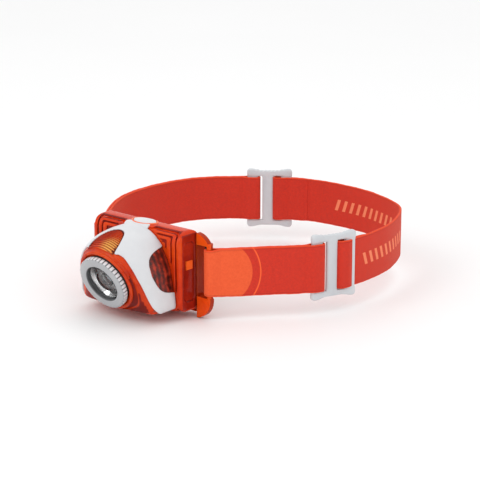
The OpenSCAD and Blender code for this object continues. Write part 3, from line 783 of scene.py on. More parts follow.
# ------------------------------------------------------------------ translucent prism over the reflector
def build_prism():
    R, C = 110, 176
    deg = np.linspace(61.3, 118.7, R + 1)
    b = shell_front(deg) + 0.004
    f = np.full(R + 1, 0.957)
    V = []
    T = np.linspace(0, 1, C + 1)
    A = np.radians(deg)[:, None] * np.ones((1, C + 1))
    U = b[:, None] + (f - b)[:, None] * T[None, :]
    base = head_pt(A, U)
    y = base[..., 1]
    ph = (-y / 1.1) % 1.0
    rib = np.where(ph < 0.82, ph / 0.82, (1 - ph) / 0.18)
    span = (f - b)[:, None]
    edge = np.minimum(T[None, :] * span / 0.012, (1 - T)[None, :] * span / 0.02)
    side = np.minimum(np.arange(R + 1), R - np.arange(R + 1))[:, None] / 3.0
    e = np.clip(np.minimum(edge, side), 0, 1)
    off = -0.2 - 0.42 * (1 - rib) * e - 0.35 * (1 - e) ** 2
    top = skin(A, U, off)
    bot = skin(A, U, np.full_like(off, -0.86))
    n = (R + 1) * (C + 1)
    V = np.concatenate([top.reshape(-1, 3), bot.reshape(-1, 3)])
    m = C + 1
    F = grid_faces(R + 1, m, 0, True) + grid_faces(R + 1, m, n, False)
    for i in range(R):
        for j in (0, C):
            F.append((i * m + j, (i + 1) * m + j, n + (i + 1) * m + j, n + i * m + j))
    for j in range(C):
        for i in (0, R):
            F.append((i * m + j, i * m + j + 1, n + i * m + j + 1, n + i * m + j))
    uv = np.stack([np.linspace(0, 1, R + 1)[:, None] * np.ones((1, m)), np.ones((R + 1, 1)) * T[None, :]], -1).reshape(-1, 2)
    ob = outward(add_mesh("prism_window", V, F, "lamp", uv=np.concatenate([uv, uv])))
    return finish_piece(ob, PRISM, "prism_clear", "prism_panel", ang=28)


# ------------------------------------------------------------------ translucent head housing with its collar lip
def build_housing():
    n = 240
    a = np.linspace(0, 2 * math.pi, n, endpoint=False)
    rings = []
    for u in np.linspace(0, 1, 30) ** 0.8 * 0.955:
        rings.append(skin(a, u, -0.82))
    rings.append(skin(a, 0.963, -1.15))
    rings.append(skin(a, 0.972, -1.45))
    rings.append(skin(a, 0.984, -1.45))
    cs, sn = np.cos(a), np.sin(a)
    for r, z in [(16.55, -4.55), (16.9, -4.35), (17.02, -4.0), (16.95, -3.62), (16.7, -3.32), (16.3, -3.12), (15.9, -3.1), (15.45, -3.22), (15.1, -3.5), (14.9, -3.9), (14.82, -4.4),
                 (14.0, -4.6), (13.8, -5.0), (13.76, -8.3), (13.9, -8.5), (15.0, -8.6)]:
        rings.append(optic(np.stack([r * cs, r * sn, np.full(n, z)], -1)))
    for u in np.linspace(0.8, 0.0, 14):
        rings.append(skin(a, u, -2.0))
    ob = outward(add_mesh("head_housing", np.concatenate(rings), ring_faces(len(rings), n, closed_rings=True), "lamp"))
    finish_piece(ob, HOUSING, "housing_plastic", "front_housing", ang=40)
    # dark internals with painted shade, on the housing's side faces
    second(ob, INNER_DARK_AND_SHADE, lambda c, n: abs(c[0]) > 13 and abs(c[2]) < 17.5 and c[1] > -14.0)
    # painted shade in the groove round the collar
    second(ob, CASE_CHANNEL_SHADE, lambda c, n: -22.6 < c[1] and abs((Vector(c) - Vector(O_C)).dot(Vector(O_Z)) + 4.9) < 0.5 and (Vector(c) - Vector(O_C)).length > 16.2 and (n.x * c[0] + n.z * (c[2] + 4)) > 0)
    return ob


# ------------------------------------------------------------------ battery case
HW, HH, CR = 30.0, 20.95, 2.5


def case_ring(ix, iz, y, n=8, m=64):
    r = max(CR - (ix + iz) / 4, 0.9)
    o = rr_outline(HW - ix, HH - iz, r, n=n, m=m)
    return np.column_stack([o[:, 0], np.full(len(o), y), o[:, 1]])


EDGE = 6.0


def front_shape(V, front):
    """Rounds both front edges, seen from the side. What lies behind the head stays flat."""
    x, az = V[:, 0], np.abs(V[:, 2])
    gap = np.hypot(x, V[:, 2]) - section(np.arctan2(V[:, 2], x))
    d = np.clip(az - (HH - EDGE), 0, EDGE)
    th = np.arcsin(d / EDGE) * smooth01((gap + 0.3) / 2.2)
    a0 = EDGE * (1 - np.cos(th)) - 0.85 * np.cos(th)
    s = V[:, 1] + 0.85
    V[:, 1] = np.where(front, a0 + s * np.cos(th), a0 + s * (12.3 - a0) / 13.15)
    V[:, 2] = np.where(front, np.sign(V[:, 2]) * (az - s * np.sin(th)), V[:, 2])
    V[:, 1] = np.where(gap < 0.9, np.maximum(V[:, 1], 0.2), V[:, 1])
    lim = HH - 0.04 - 0.4 * np.maximum(0, 1.0 - V[:, 1]) ** 2
    V[:, 2] = np.where(gap < 1.2, np.sign(V[:, 2]) * np.minimum(np.abs(V[:, 2]), lim), V[:, 2])


def build_case():
    H = 0.85
    prof = [(12.4, 8.2, 0.0), (10.6, 6.4, 0.0), (9.8, 5.3, 0.05), (9.5, 4.95, 0.08)]
    rims = [(9.2, 4.65, 6.35, 3.0), (5.75, 2.55, 3.2, 0.95), (2.6, 0.62, 0.75, 0.14)]
    for ix0, iz0, ix1, iz1 in rims:
        for t, h in ((0, 0.0), (0.06, -0.5), (0.12, -0.8), (0.22, -0.96), (0.36, -1.0), (0.64, -1.0), (0.78, -0.96), (0.88, -0.8), (0.94, -0.5), (1.0, 0.0)):
            if ix1 == 0.75 and t > 0.4:
                continue
            prof.append((ix0 + (ix1 - ix0) * t, iz0 + (iz1 - iz0) * t, h * H))
        if ix1 > 1:
            prof.append((ix1 - 0.3, iz1 - 0.16, 0.08))
    n_front = len(prof)
    for t in range(0, 91, 15):
        k = math.radians(t)
        prof.append((1.3 * (1 - math.sin(k)), 0.22 * (1 - math.sin(k)), -0.85 + 1.3 * (1 - math.cos(k))))
    for y in np.arange(0.75, 11.61, 0.26):
        prof.append((0, 0, y))
    for t in range(0, 91, 30):
        k = math.radians(t)
        prof.append((0.7 * (1 - math.cos(k)), 0.7 * (1 - math.cos(k)), 11.75 + 0.55 * math.sin(k)))
    prof += [(1.3, 1.3, 12.3), (1.4, 1.4, 12.1), (1.4, 1.4, 6.0), (1.4, 1.4, 0.95)]
    rings = [case_ring(*p) for p in prof]
    N = len(rings[0])
    V = np.concatenate(rings)
    front_shape(V, np.arange(len(V)) < n_front * N)
    F = ring_faces(len(prof), N)
    F.append(tuple(range(N))[::-1])
    F.append(tuple(range((len(prof) - 1) * N, len(prof) * N)))
    # the rear edge is lower at the top, where the door slides in
    top = (V[:, 2] > 19.2) & (V[:, 1] > 11.55)
    V[top, 1] = 11.55 + (V[top, 1] - 11.55) * 0.1
    # the top rear edge is rounded off
    back = (V[:, 2] > 12) & (V[:, 1] > 8.6)
    lim = 16.45 + np.sqrt(np.clip(4.5 ** 2 - (V[:, 1] - 8.6) ** 2, 0, None))
    inner = np.arange(len(V)) >= N * (len(prof) - 3)
    lim = np.where(inner, lim - 1.35, lim)
    V[back, 2] = np.minimum(V[back, 2], lim[back])
    # the panels let into both sides: an outline with round ends, sunk 0.45 mm, with a raised lip and a window's seat
    sidev = np.abs(V[:, 0]) > HW - 0.2
    dy, dz = np.abs(V[:, 1] - 6.2), np.abs(V[:, 2])
    hy, hz, r = 4.3, 15.5, 3.4
    qx, qz = np.maximum(dy - (hy - r), 0), np.maximum(dz - (hz - r), 0)
    sd = np.sqrt(qx ** 2 + qz ** 2) - r + np.minimum(np.maximum(dy - (hy - r), dz - (hz - r)), 0)
    sink = 0.6 * smooth01((-sd) / 0.45)
    sink -= 0.12 * np.exp(-((sd - 0.3) / 0.25) ** 2)
    V[sidev, 0] -= np.sign(V[sidev, 0]) * sink[sidev]
    # upright ribs at the rear of both sides, and a block with a round bar on each side at the bottom rear
    parts = [(V, F)]
    for s in (-1, 1):
        parts.append(rounded_block((s * 28.7, 12.45, 0), (1.2, 1.15, 15.4), 0.35))
        parts.append(rod((s * 15, 14.6, -21.2), (s * 21, 14.6, -21.2), 2.0, 28))
        parts.append(rounded_block((s * 18, 12.6, -21.0), (2.95, 2.0, 1.85), 0.3))
    ob = outward(join_parts("case_body", parts, "lamp"))
    finish_piece(ob, CASE, "case_plastic", "battery_case", ang=38)

    # faces down in the channels between the front rims, and in the groove round each side panel, take painted shade
    def channel(c, n):
        x, y, z = abs(c[0]), c[1], abs(c[2])
        d = min(max(z - (HH - EDGE), 0), EDGE)
        r = EDGE - math.sqrt(EDGE ** 2 - d ** 2)
        if y < r + 0.45 and x < 27.7 and z < 20.75 and n.y < 0 and math.hypot(x, z) > float(section(math.atan2(c[2], c[0]))) + 1.2:
            if d > 0.01:
                # how far the face lies under the crests, square to the rounding
                return EDGE + 0.85 - math.hypot(y - EDGE, z - (HH - EDGE)) > 0.85 * (1 - d / EDGE) * 0 + 0.45
            return y > -0.45
        if x > 29 and 1.4 < y < 11.2 and z < 16.2:
            dy, dz = abs(y - 6.2), z
            qx, qz = max(dy - 0.9, 0), max(dz - 12.1, 0)
            sd = math.hypot(qx, qz) - 3.4 + min(max(dy - 0.9, dz - 12.1), 0)
            return -0.55 < sd < 0.05
        return False

    # painted shade on the case's side faces
    second(ob, CASE_SIDE_SHADE, lambda c, n: abs(c[0]) > 28.8 and 1.0 < c[1] < 12.0 and abs(c[2]) < 19.3 and abs(n.x) > 0.5)
    second(ob, CASE_CHANNEL_SHADE, channel)
    return ob


def leaf_outline(grow, n=60):
    """The outline of the button: two arcs that meet in points, eased."""
    R = 7.3 + grow
    xe = math.sqrt(R * R - 2.8 ** 2)
    t0 = math.asin(min(1, xe / R))
    pts = []
    for k in range(n):
        t = -t0 + 2 * t0 * k / n
        pts.append((R * math.sin(t), -2.8 + R * math.cos(t)))
    for k in range(n):
        t = -t0 + 2 * t0 * k / n
        pts.append((-R * math.sin(t), 2.8 - R * math.cos(t)))
    p = np.array(pts) * (1.12, 1.0)
    for _ in range(2):
        p = 0.5 * p + 0.25 * (np.roll(p, 1, 0) + np.roll(p, -1, 0))
    return p


def drop_back(V, share):
    """Lets what lies on the case's top follow its rounded rear edge."""
    y = np.clip(V[:, 1] - 8.6, 0, 4.4)
    V[:, 2] -= share * (4.5 - np.sqrt(4.5 ** 2 - y ** 2)) * (V[:, 2] > 20.6)
    return V


def build_button():
    o = leaf_outline(-0.05)
    n = len(o)
    prof = [(0.55, 18.9), (0.55, 19.3), (0.0, 19.35), (0.0, 21.0), (-0.05, 21.2), (-0.18, 21.38), (-0.4, 21.5)]
    V = []
    for g, z in prof:
        q = leaf_outline(-0.05 + g)
        zz = np.full(n, z)
        V.append(np.column_stack([q[:, 0], q[:, 1] + 6.1, zz]))
    for t in (0.9, 0.78, 0.64, 0.5, 0.36, 0.22, 0.1):
        q = leaf_outline(-0.45) * t
        # a dome with a shallow thumb dip in the middle
        z = 21.5 + 0.38 * (1 - t ** 2) - 0.10 * math.exp(-(t / 0.35) ** 2)
        V.append(np.column_stack([q[:, 0], q[:, 1] + 6.1, np.full(n, z)]))
    V = drop_back(np.concatenate(V), 0.6)
    R = len(prof) + 7
    F = ring_faces(R, n)
    F.append(tuple(range(n))[::-1])
    F.append(tuple(range((R - 1) * n, R * n)))
    ob = outward(add_mesh("push_button_cap", V, F, "push_button"))
    finish_piece(ob, WHITE, "white_shell", "button", ang=50)
    # the orange rim round it
    V = []
    prof = [(0.15, 20.7), (0.15, 21.2), (0.25, 21.36), (0.42, 21.42), (0.62, 21.4), (0.82, 21.28), (0.95, 21.1), (1.0, 20.9), (1.0, 20.7)]
    for g, z in prof:
        q = leaf_outline(g)
        V.append(np.column_stack([q[:, 0], q[:, 1] + 6.1, np.full(n, z)]))
    ob = outward(add_mesh("button_rim", drop_back(np.concatenate(V), 1.0), ring_faces(len(prof), n, closed_rings=True), "lamp"))
    return finish_piece(ob, RIM, "seal_orange", "button_seal", ang=50)


# ------------------------------------------------------------------ focus ring, lens and carrier
def build_focus():
    K = 42
    n = K * 12
    a = np.linspace(0, 2 * math.pi, n, endpoint=False)
    tt = tooth((a * K / (2 * math.pi)) % 1.0)
    prof = [(12.2, -9.4, 0), (12.2, -1.7, 0), (11.9, -1.55, 0), (10.25, -1.3, 0), (10.05, -1.15, 0), (9.98, -0.95, 0), (10.0, -0.55, 0), (10.1, -0.25, 0), (10.3, -0.08, 0), (10.6, -0.02, 0),
            (10.95, -0.02, 0), (11.05, -0.1, 0), (11.15, -0.12, 0), (11.25, -0.1, 0), (11.35, -0.02, 0), (12.2, 0.0, 0), (13.1, 0.0, 0), (13.45, -0.03, 0), (13.72, -0.12, 0), (13.9, -0.25, 0),
            (13.98, -0.34, 0.25), (14.05, -0.42, 0.75), (14.1, -0.55, 1.0), (14.12, -0.9, 1.0), (14.12, -2.6, 1.0), (14.1, -2.86, 0.95), (14.02, -3.0, 0.6), (13.95, -3.08, 0.2), (13.85, -3.2, 0),
            (13.5, -3.25, 0), (13.42, -3.4, 0), (13.4, -5.6, 0), (12.85, -5.65, 0), (12.85, -6.85, 0), (13.4, -6.9, 0), (13.4, -9.3, 0), (13.2, -9.5, 0), (12.4, -9.5, 0)]
    rings = []
    for r, z, k in prof:
        rr = r + k * (0.62 * tt - 0.22)
        rings.append(optic(np.stack([rr * np.cos(a), rr * np.sin(a), np.full(n, z)], -1)))
    ob = outward(add_mesh("bezel_ring", np.concatenate(rings), ring_faces(len(rings), n, closed_rings=True), "focus"))
    return finish_piece(ob, KNURL, "ring_plastic", "focus_ring", ang=32)


def revolve_optic(name, prof, body, n=160, close=True, caps=False):
    a = np.linspace(0, 2 * math.pi, n, endpoint=False)
    rings = [optic(np.stack([r * np.cos(a), r * np.sin(a), np.full(n, z)], -1)) for r, z in prof]
    F = ring_faces(len(rings), n, closed_rings=close)
    if caps:
        F.append(tuple(range(n))[::-1])
        F.append(tuple(range((len(rings) - 1) * n, len(rings) * n)))
    return outward(add_mesh(name, np.concatenate(rings), F, body))


def build_optics():
    # the carrier's front funnel has stepped rings, as the photograph shows
    prof = [(11.9, -9.5), (11.9, -2.2), (11.8, -1.95), (11.55, -1.75), (10.8, -1.72), (10.68, -1.85), (10.65, -2.3), (10.64, -6.15), (9.95, -6.2), (9.9, -7.35), (10.6, -7.4), (10.65, -9.5)]
    ob = revolve_optic("lens_holder", prof, "lens_unit")
    finish_piece(ob, BARREL, "black_plastic", "lens_carrier", ang=32)
    # the lens: a flat rim, fine moulded rings, and a dome in the middle; a well behind it takes the chip
    front = [(10.55, -6.05), (10.58, -3.3), (10.4, -3.12)]
    for i in range(7):
        r0 = 10.2 - i * 0.62
        z0 = -3.1 + 0.02 * i
        front += [(r0, z0), (r0 - 0.30, z0 + 0.16), (r0 - 0.5, z0 + 0.05)]
    for i in range(14):
        r = 5.6 * (1 - i / 13.5)
        front.append((max(r, 0.12), -1.9 - 1.05 * (r / 5.6) ** 2))
    ob = revolve_optic("lens_body", front + [(0.12, -4.6), (1.6, -4.75), (2.9, -5.2), (3.4, -6.05)], "lens_unit", close=True)
    finish_piece(ob, LENS, "lens_clear", "lens", ang=24)
    # the reflector: a faceted bowl
    prof = [(2.4, -16.4)]
    for i in range(15):
        t = i / 14
        prof.append((2.5 + 6.1 * t, -16.6 + 5.5 * t ** 1.9))
    prof += [(8.75, -11.0), (8.85, -11.15)] + [(2.7 + 6.1 * t, -17.0 + 5.5 * t ** 1.9) for t in np.linspace(0.97, 0, 8)]
    ob = revolve_optic("reflector_bowl", prof, "lamp")
    finish_piece(ob, CHROME, "reflector_metal", "reflector", ang=40)


# ------------------------------------------------------------------ buckles
RA, RB = np.array([71.9, 50.2]), np.array([81.1, 74.9])
LA, LB = np.array([-44.9, 137.3]), np.array([-24.3, 153.2])


def bar_of(a, b, s):
    m, t = (a + b) / 2, (b - a) / np.linalg.norm(b - a)
    return m + t * s


def sweep(C, A, B, ha, hb, e, n=28):
    """A superellipse swept through centres C with unit axes A and B and half sizes ha, hb."""
    V = []
    k = np.arange(n) * 2 * math.pi / n
    ca, sa = np.cos(k), np.sin(k)
    x = np.sign(ca) * np.abs(ca) ** (2 / e)
    y = np.sign(sa) * np.abs(sa) ** (2 / e)
    for i in range(len(C)):
        V.append(C[i] + np.outer(x * ha[i], A[i]) + np.outer(y * hb[i], B[i]))
    F = ring_faces(len(C), n)
    F.append(tuple(range(n))[::-1])
    F.append(tuple(range((len(C) - 1) * n, len(C) * n)))
    return np.concatenate(V), F


def build_buckle(name, a, b, node, body):
    m = (a + b) / 2
    t = np.append((b - a) / np.linalg.norm(b - a), 0)
    o = np.array([-t[1], t[0], 0])
    up = np.array([0, 0, 1.0])
    c = np.array([m[0], m[1], 0])
    parts = []
    S = np.concatenate([[-13.0, -12.97, -12.88, -12.7, -12.4, -12.0, -11.6], np.linspace(-11.2, 11.2, 113), [11.6, 12.0, 12.4, 12.7, 12.88, 12.97, 13.0]])
    e = np.sqrt(np.clip(1 - (np.clip(np.abs(S) - 11.2, 0, None) / 1.8) ** 2, 0.0, 1)) * 0.94 + 0.06
    for sg in (-1, 1):
        fl = smooth01((np.abs(S) - 4.5) / 6.0)
        outer = 16.0 + 1.1 * fl
        if sg > 0:
            ph = np.abs(np.sin(math.pi * (S + 7.7) / 2.2)) ** 0.6
            outer = outer + np.where(np.abs(S) < 7.7, 0.34 * ph - 0.05, 0)
        inner = 12.95 + 0.2 * np.exp(-(S / 3.0) ** 2) - 0.25 * fl
        zc, hz = (outer + inner) / 2, (outer - inner) / 2
        ho = 1.38 + 0.32 * fl
        C = c + np.outer(S, t) + np.outer(sg * zc, up)
        parts.append(sweep(C, [o] * len(S), [up] * len(S), ho * e, hz * e, 4.2, 36))
    Z = np.concatenate([np.linspace(-15.2, 15.2, 62)])
    for s0, hw in ((-9.6, 3.0), (-1.0, 3.15), (9.6, 3.0)):
        fl = np.clip((np.abs(Z) - 11.6) / 1.6, 0, 1) ** 2
        C = c + t * s0 + np.outer(Z, up)
        parts.append(sweep(C, [t] * len(Z), [o] * len(Z), hw + 0.35 * fl, 1.3 + 0.12 * fl, 3.2, 32))
    ob = outward(join_parts(name, parts, body))
    return finish_piece(ob, BUCKLE, "buckle_plastic", node, ang=42)


# ------------------------------------------------------------------ webbing
FRONT_R = [[38.5, 12], [41.5, 14.5], [49, 22.8], [59.3, 35.2], [68, 44.5]]
BACK = [[80.8, 78], [80.9, 86.5], [80.2, 94], [79.2, 102], [77.2, 110], [73.8, 119], [68, 131], [61, 140.5], [51.5, 147], [42, 151.4], [35, 154], [27.6, 156.4], [15, 158], [4, 158.4], [-7, 157.6], [-17, 155.4]]
FRONT_L = [[-38.5, 12], [-41.5, 16], [-46, 23], [-52, 32], [-58.6, 41.5], [-64.6, 52], [-68.6, 62], [-70.8, 72], [-71.5, 82], [-71.3, 92], [-69.8, 102], [-67.2, 111], [-63, 119], [-57.5, 126], [-51, 132.4]]


def catmull(P, steps=16):
    P = np.asarray(P, float)
    k = len(P)
    out = []
    for i in range(k - 1):
        a, b, c, d = P[max(i - 1, 0)], P[i], P[i + 1], P[min(i + 2, k - 1)]
        for s in range(steps):
            w = s / steps
            out.append(b + 0.5 * w * ((c - a) + w * ((2 * a - 5 * b + 4 * c - d) + w * (3 * (b - c) + d - a))))
    out.append(P[-1])
    return np.array(out)


def resample(P, step):
    d = np.r_[0, np.cumsum(np.linalg.norm(np.diff(P, axis=0), axis=1))]
    n = max(2, int(round(d[-1] / step)))
    s = np.linspace(0, d[-1], n + 1)
    return np.column_stack([np.interp(s, d, P[:, 0]), np.interp(s, d, P[:, 1])]), s


def smooth_path(P, times):
    P = P.copy()
    for _ in range(times):
        P[1:-1] = 0.5 * P[1:-1] + 0.25 * (P[:-2] + P[2:])
    return P


def tangents(P, closed=False):
    if closed:
        t = np.roll(P, -1, 0) - np.roll(P, 1, 0)
    else:
        t = np.gradient(P, axis=0)
    return t / np.linalg.norm(t, axis=1, keepdims=True)


def smooth01(x):
    x = np.clip(x, 0, 1)
    return x * x * (3 - 2 * x)


def band_section(h, w, nz=27):
    """Points round a band's cross-section: (offset, z), with rounded selvedges."""
    z = np.linspace(-(w - 0.5), w - 0.5, nz)
    crown = 0.03 * np.cos(z / w * math.pi / 2)
    lip = 0.05 * np.exp(-((np.abs(z) - (w - 0.8)) / 0.35) ** 2)
    top = np.column_stack([h + crown + lip - 0.05, z])
    arc = [(h * math.cos(k), (w - 0.5) + 0.5 * math.sin(k)) for k in np.radians([20, 45, 70, 90, 110, 135, 160])]
    bot = np.column_stack([-(h + crown + lip - 0.05)[::-1], z[::-1]])
    arc2 = [(-x, -y) for x, y in arc]
    return np.concatenate([top, arc, bot, arc2])


def build_band(name, P, U, h, body, mat, closed, nodes, width=None, caps=True, frayed=False):
    T = tangents(P, closed)
    N = np.column_stack([-T[:, 1], T[:, 0]])
    sec = band_section(h, 12.5)
    V, UV = [], []
    for i in range(len(P)):
        w = 1.0 if width is None else width[i]
        # the selvedges wander by a few hundredths of a millimetre
        j = 0.05 * math.sin(U[i] * 0.45 + 1.3) + 0.035 * math.sin(U[i] * 1.31)
        z = sec[:, 1] * w + np.sign(sec[:, 1]) * j * (np.abs(sec[:, 1]) / 12.5) ** 6
        V.append(np.column_stack([P[i][0] + N[i][0] * sec[:, 0], P[i][1] + N[i][1] * sec[:, 0], z]))
        UV.append(np.column_stack([np.full(len(sec), U[i] * MM), sec[:, 1] * MM]))
    n = len(sec)
    F = ring_faces(len(P), n, closed_rings=closed)
    if not closed and caps:
        F.append(tuple(range(n))[::-1])
        F.append(tuple(range((len(P) - 1) * n, len(P) * n)))
    V, UV = np.concatenate(V), np.concatenate(UV)
    ob = add_mesh(name, V, F, body, uv=UV)
    bm = bmesh.new()
    bm.from_mesh(ob.data)
    bmesh.ops.recalc_face_normals(bm, faces=bm.faces)
    bm.to_mesh(ob.data)
    bm.free()
    return finish_piece(ob, mat, "webbing", *nodes, ang=60)


def front_loop(P0, a, b, h0=2.42, h1=2.12):
    """A doubled band round the bracket's bar and the buckle's outer bar, as one closed loop."""
    P = list(P0) + [bar_of(a, b, -11.3), bar_of(a, b, -7.9)]
    mid, s = resample(catmull(P), 0.8)
    mid = smooth_path(mid, 12)
    T = tangents(mid)
    N = np.column_stack([-T[:, 1], T[:, 0]])
    L = s[-1]
    h = 0.69 + (h0 - 0.69) * (1 - smooth01((s - 0.2) / 5.6)) + (h1 - 0.69) * smooth01((s - (L - 8.2)) / 4.6)
    A = mid + N * h[:, None]
    B = mid - N * h[:, None]
    ph = np.radians(np.arange(12, 180, 12))
    far = np.array([mid[-1] + h1 * (math.cos(k) * N[-1] + math.sin(k) * T[-1]) for k in ph])
    near = np.array([mid[0] + h0 * (-math.cos(k) * N[0] - math.sin(k) * T[0]) for k in ph])
    path = np.concatenate([A, far, B[::-1], near])
    mn = np.minimum(ph, math.pi - ph)
    U = np.concatenate([s, L + h1 * mn, s[::-1], -h0 * mn])
    wid = np.concatenate([1 - 0.05 * (1 - smooth01(s / 6.0)), np.full(len(ph), 1.0), (1 - 0.05 * (1 - smooth01(s / 6.0)))[::-1], np.full(len(ph), 0.95)])
    return path, U, wid


def rear_half(first, rest, inward, cut):
    """A single band with its end folded round a buckle's bar: tail, turn, and the run to the middle of the back."""
    mid, s = resample(catmull(list(first) + list(rest)), 0.8)
    mid = smooth_path(mid, 20)
    k = np.argmax(s >= cut) if cut < s[-1] else len(s) - 1
    mid, s = mid[:k + 1], s[:k + 1]
    T = tangents(mid)
    N = np.column_stack([-T[:, 1], T[:, 0]]) * inward
    h1 = 2.12
    side = smooth01((s - 2.6) / 5.6)
    main = mid + N * (-(h1) * (1 - side))[:, None]
    keep = s <= 19.0
    tail = (mid + N * (h1 + (1.37 - h1) * side - 1.15 * smooth01((s - 12.5) / 6.0))[:, None])[keep]
    ph = np.radians(np.arange(12, 180, 12))
    turn = np.array([mid[0] + h1 * (math.cos(q) * N[0] - math.sin(q) * T[0]) for q in ph])
    path = np.concatenate([tail[::-1], turn, main])
    U = np.concatenate([s[keep][::-1], -h1 * np.minimum(ph, math.pi - ph), s])
    return path, U


def build_webbing():
    web_f = m_web("webbing_front", zones=(0.0060, (-0.0013, 0.0164), (-0.0026, 0.0219)))
    web_r = m_web("webbing_rear", mark=[(0.0155, 0.0655, 0.0052), (0.0905, 0.1395, 0.0052)])
    web_l = m_web("webbing_left")
    P, U, w = front_loop(FRONT_R, RA, RB)
    ob = build_band("band_front_right", P, U, 0.62, None, web_f, True, ["front_strap_right"], w)
    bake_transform(ob)
    P, U, w = front_loop(FRONT_L, LA, LB)
    ob = build_band("band_front_left", P, U, 0.62, None, web_l, True, ["front_strap_left"], w)
    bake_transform(ob)
    full = [bar_of(RA, RB, 4.4), bar_of(RA, RB, 11.3)] + BACK + [bar_of(LA, LB, 11.3), bar_of(LA, LB, 4.4)]
    _, s = resample(catmull(full), 0.8)
    cut = 145.0
    P, U = rear_half(full[:2], full[2:], 1, cut)
    mid_pt = P[-1]
    ob = build_band("band_rear_right", P, U, 0.62, None, web_r, False, ["rear_strap"])
    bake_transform(ob)
    back = full[::-1]
    P2, U2 = rear_half(back[:2], back[2:], -1, s[-1] - cut)
    P2[-1] = mid_pt
    ob = build_band("band_rear_left", P2, U2, 0.62, None, web_l, False, ["rear_strap"])
    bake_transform(ob)


# ------------------------------------------------------------------ forehead pad
def build_pad():
    o = rr_outline(32, 16.5, 8, n=16, m=30)
    n = len(o)
    D = [0, 0.1, 0.3, 0.6, 1.0, 1.5, 2.1, 2.8, 3.6, 4.4, 5.2, 6.0, 6.8, 7.6, 8.4, 9.2, 10, 10.8, 11.6, 12.4, 13.2, 14, 14.8, 15.6]
    rings = []

    def ring(d):
        r = max(8 - d, 1.2)
        return rr_outline(32 - d, 16.5 - d, r, n=16, m=30)

    front = ring(0.5)
    V = [np.column_stack([front[:, 0], np.full(n, 16.62), front[:, 1]])]
    q = ring(0.05)
    V.append(np.column_stack([q[:, 0], np.full(n, 16.9), q[:, 1]]))
    for d in D:
        q = ring(d)
        x, z = q[:, 0], q[:, 1]
        t = np.clip(1 - d / 2.4, 0, 1)
        y = 20.08 - 1.5 * (1 - np.sqrt(1 - t ** 2)) - 0.12 * t
        g = np.abs(((x + 5.5) % 11.0) - 5.5)
        ends = smooth01((15.7 - np.abs(z)) / 3.0)
        y = y - 1.15 * np.exp(-(g / 0.9) ** 2) * ends * (d > 0.2)
        y = y - 0.12 * (g / 5.5 - 0.5) ** 2
        V.append(np.column_stack([x, y, z]))
    R = len(V)
    F = ring_faces(R, n)
    F.append(tuple(range(n))[::-1])
    F.append(tuple(range((R - 1) * n, R * n)))
    ob = outward(add_mesh("forehead_foam", np.concatenate(V), F, "band"))
    finish_piece(ob, FOAM, "foam", "forehead_pad", ang=70)


# ------------------------------------------------------------------ carried-over nodes
def bevel(name, width, seg=2, angle=35):
    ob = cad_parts[name] if not isinstance(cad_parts[name], str) else bpy.data.objects[name]
    m = ob.modifiers.new("bevel", "BEVEL")
    m.width = width * MM
    m.segments = seg
    m.limit_method = "ANGLE"
    m.angle_limit = math.radians(angle)
    m.harden_normals = False
    m.use_clamp_overlap = True
    return ob


def node_obj(name):
    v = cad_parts[name]
    return v if isinstance(v, bpy.types.Object) else bpy.data.objects[name]


def m_cell():
    """A printed cell sleeve: two plain colours along the cell with a thin line between, pale ends, glossy."""
    M = Mat("cell_sleeve")
    x, y, z = M.sep(M.obj())[0:3]
    ax = M.math("ABSOLUTE", x)
    c = M.mix(M.math("GREATER_THAN", x, 0.006), lin(38, 40, 46), lin(168, 120, 60))
    c = M.mix(M.math("LESS_THAN", M.math("ABSOLUTE", M.math("SUBTRACT", x, 0.006)), 0.0004), c, lin(220, 220, 220))
    c = M.mix(M.math("GREATER_THAN", ax, 0.0206), c, lin(205, 205, 200))
    n = M.noise(M.obj(), 200, 3)
    M.set(Base_Color=M.mix(M.map(n, 0.3, 0.7, 0, 0.25), c, lin(90, 90, 92)))
    M.set(Roughness=M.map(n, 0.3, 0.7, 0.15, 0.3))
    M.p.inputs["Metallic"].default_value = 0.3
    M.p.inputs["Coat Weight"].default_value = 0.4
    M.bump(n, 0.00003)
    return M


def tune_bracket(M):
    """Painted shade on the bracket's side faces, so its outline reads as a dark rim."""
    c = M.p.inputs["Base Color"].links[0].from_socket
    g = M.node("ShaderNodeNewGeometry")
    o = M.obj()
    x, y, z = M.sep(o)[0:3]
    nx, ny, nz = M.sep(g.outputs["Normal"])[0:3]
    # painted shade on the side faces, whose normals lie across the front-to-back axis
    side = M.map(M.math("ABSOLUTE", ny), 0.15, 0.75, 1, 0, True)
    c = M.mix(M.math("MULTIPLY", side, 0.72), c, lin(138, 28, 14))
    M.set(Base_Color=c)
    return M


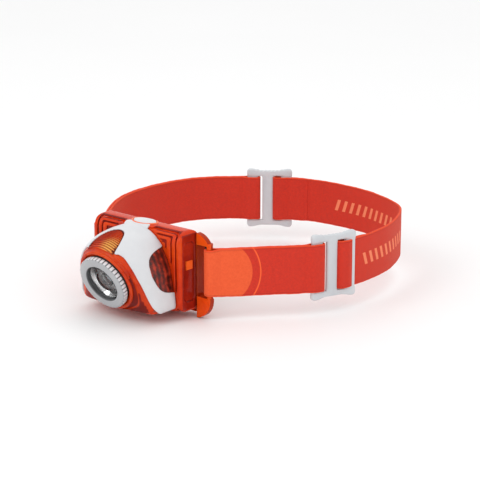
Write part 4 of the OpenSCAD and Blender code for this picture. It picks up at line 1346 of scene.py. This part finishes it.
def dress_nodes():
    tune_bracket(BRACKET)
    M = {"bracket": BRACKET, "hinge_pin": STEEL, "hinge_washers": WHITE, "battery_door": CASE, "battery_cells": m_cell(), "contact_springs": STEEL, "contact_plates": STEEL,
         "ring_seal": RUBBER, "led_chip": LED, "led_board": WBOARD, "heat_sink": ALU, "mount_screws": STEEL, "driver_board": GREEN, "driver_chips": BLACK,
         "led_wires": RED, "switch_board": GREEN, "tact_switch": BLACK, "side_windows": WINDOW}
    for k, mat in M.items():
        ob = node_obj(k)
        ms = ob.data.materials
        if len(ob.material_slots) == 0:
            ms.append(mat.m)
        for sl in ob.material_slots:
            sl.material = mat.m
    bevel("bracket", 0.45, 3)
    bevel("battery_door", 0.3, 2)
    bevel("side_windows", 0.35, 2)
    bevel("driver_chips", 0.12, 1)
    bevel("heat_sink", 0.1, 1)


build_shell()
build_tab()
build_prism()
build_housing()
build_case()
build_button()
build_focus()
build_optics()
build_buckle("ladder_buckle_right", RA, RB, "buckle_right", "buckle_r")
build_buckle("ladder_buckle_left", LA, LB, "buckle_left", "buckle_l")
build_webbing()
build_pad()
dress_nodes()


# ------------------------------------------------------------------ floor, light
def plain(name, col, rough=0.6):
    M = Mat(name)
    n = M.noise(M.obj(), 3, 2)
    M.set(Base_Color=M.mix(M.map(n, 0.3, 0.7, 0, 1), col, tuple(0.985 * c for c in col[:3]) + (1,)))
    M.set(Roughness=M.map(n, 0.3, 0.7, rough, rough + 0.05))
    return M


def build_floor():
    bpy.ops.mesh.primitive_plane_add(size=8, location=(0, 0, W([0, 0, -24.75])[2]))
    ob = bpy.context.object
    ob.name = "floor"
    paint(ob, plain("floor_paper", lin(246, 246, 246)))


def area(name, loc, aim, size, power, col=(1, 1, 1), size_y=None):
    l = bpy.data.lights.new(name, "AREA")
    l.energy = power
    l.color = col
    l.size = size
    if size_y:
        l.shape = "RECTANGLE"
        l.size_y = size_y
    ob = bpy.data.objects.new(name, l)
    bpy.context.scene.collection.objects.link(ob)
    ob.location = loc
    d = Vector(aim) - Vector(loc)
    ob.rotation_euler = d.to_track_quat("-Z", "Y").to_euler()
    return ob


build_floor()
w = bpy.data.worlds.new("soft_white")
w.use_nodes = True
bg = next(n for n in w.node_tree.nodes if n.type == "BACKGROUND")
bg.inputs[0].default_value = (1, 1, 1, 1)
bg.inputs[1].default_value = 1.0
bpy.context.scene.world = w
area("top", (0.05, 0.1, 1.3), (0.02, 0.05, 0), 1.3, 1.5)
area("key", (-0.15, -0.75, 0.65), (0, 0.02, 0), 0.5, 1.6)
area("fill", (0.95, -0.2, 0.4), (0, 0.04, 0), 0.6, 0.4)
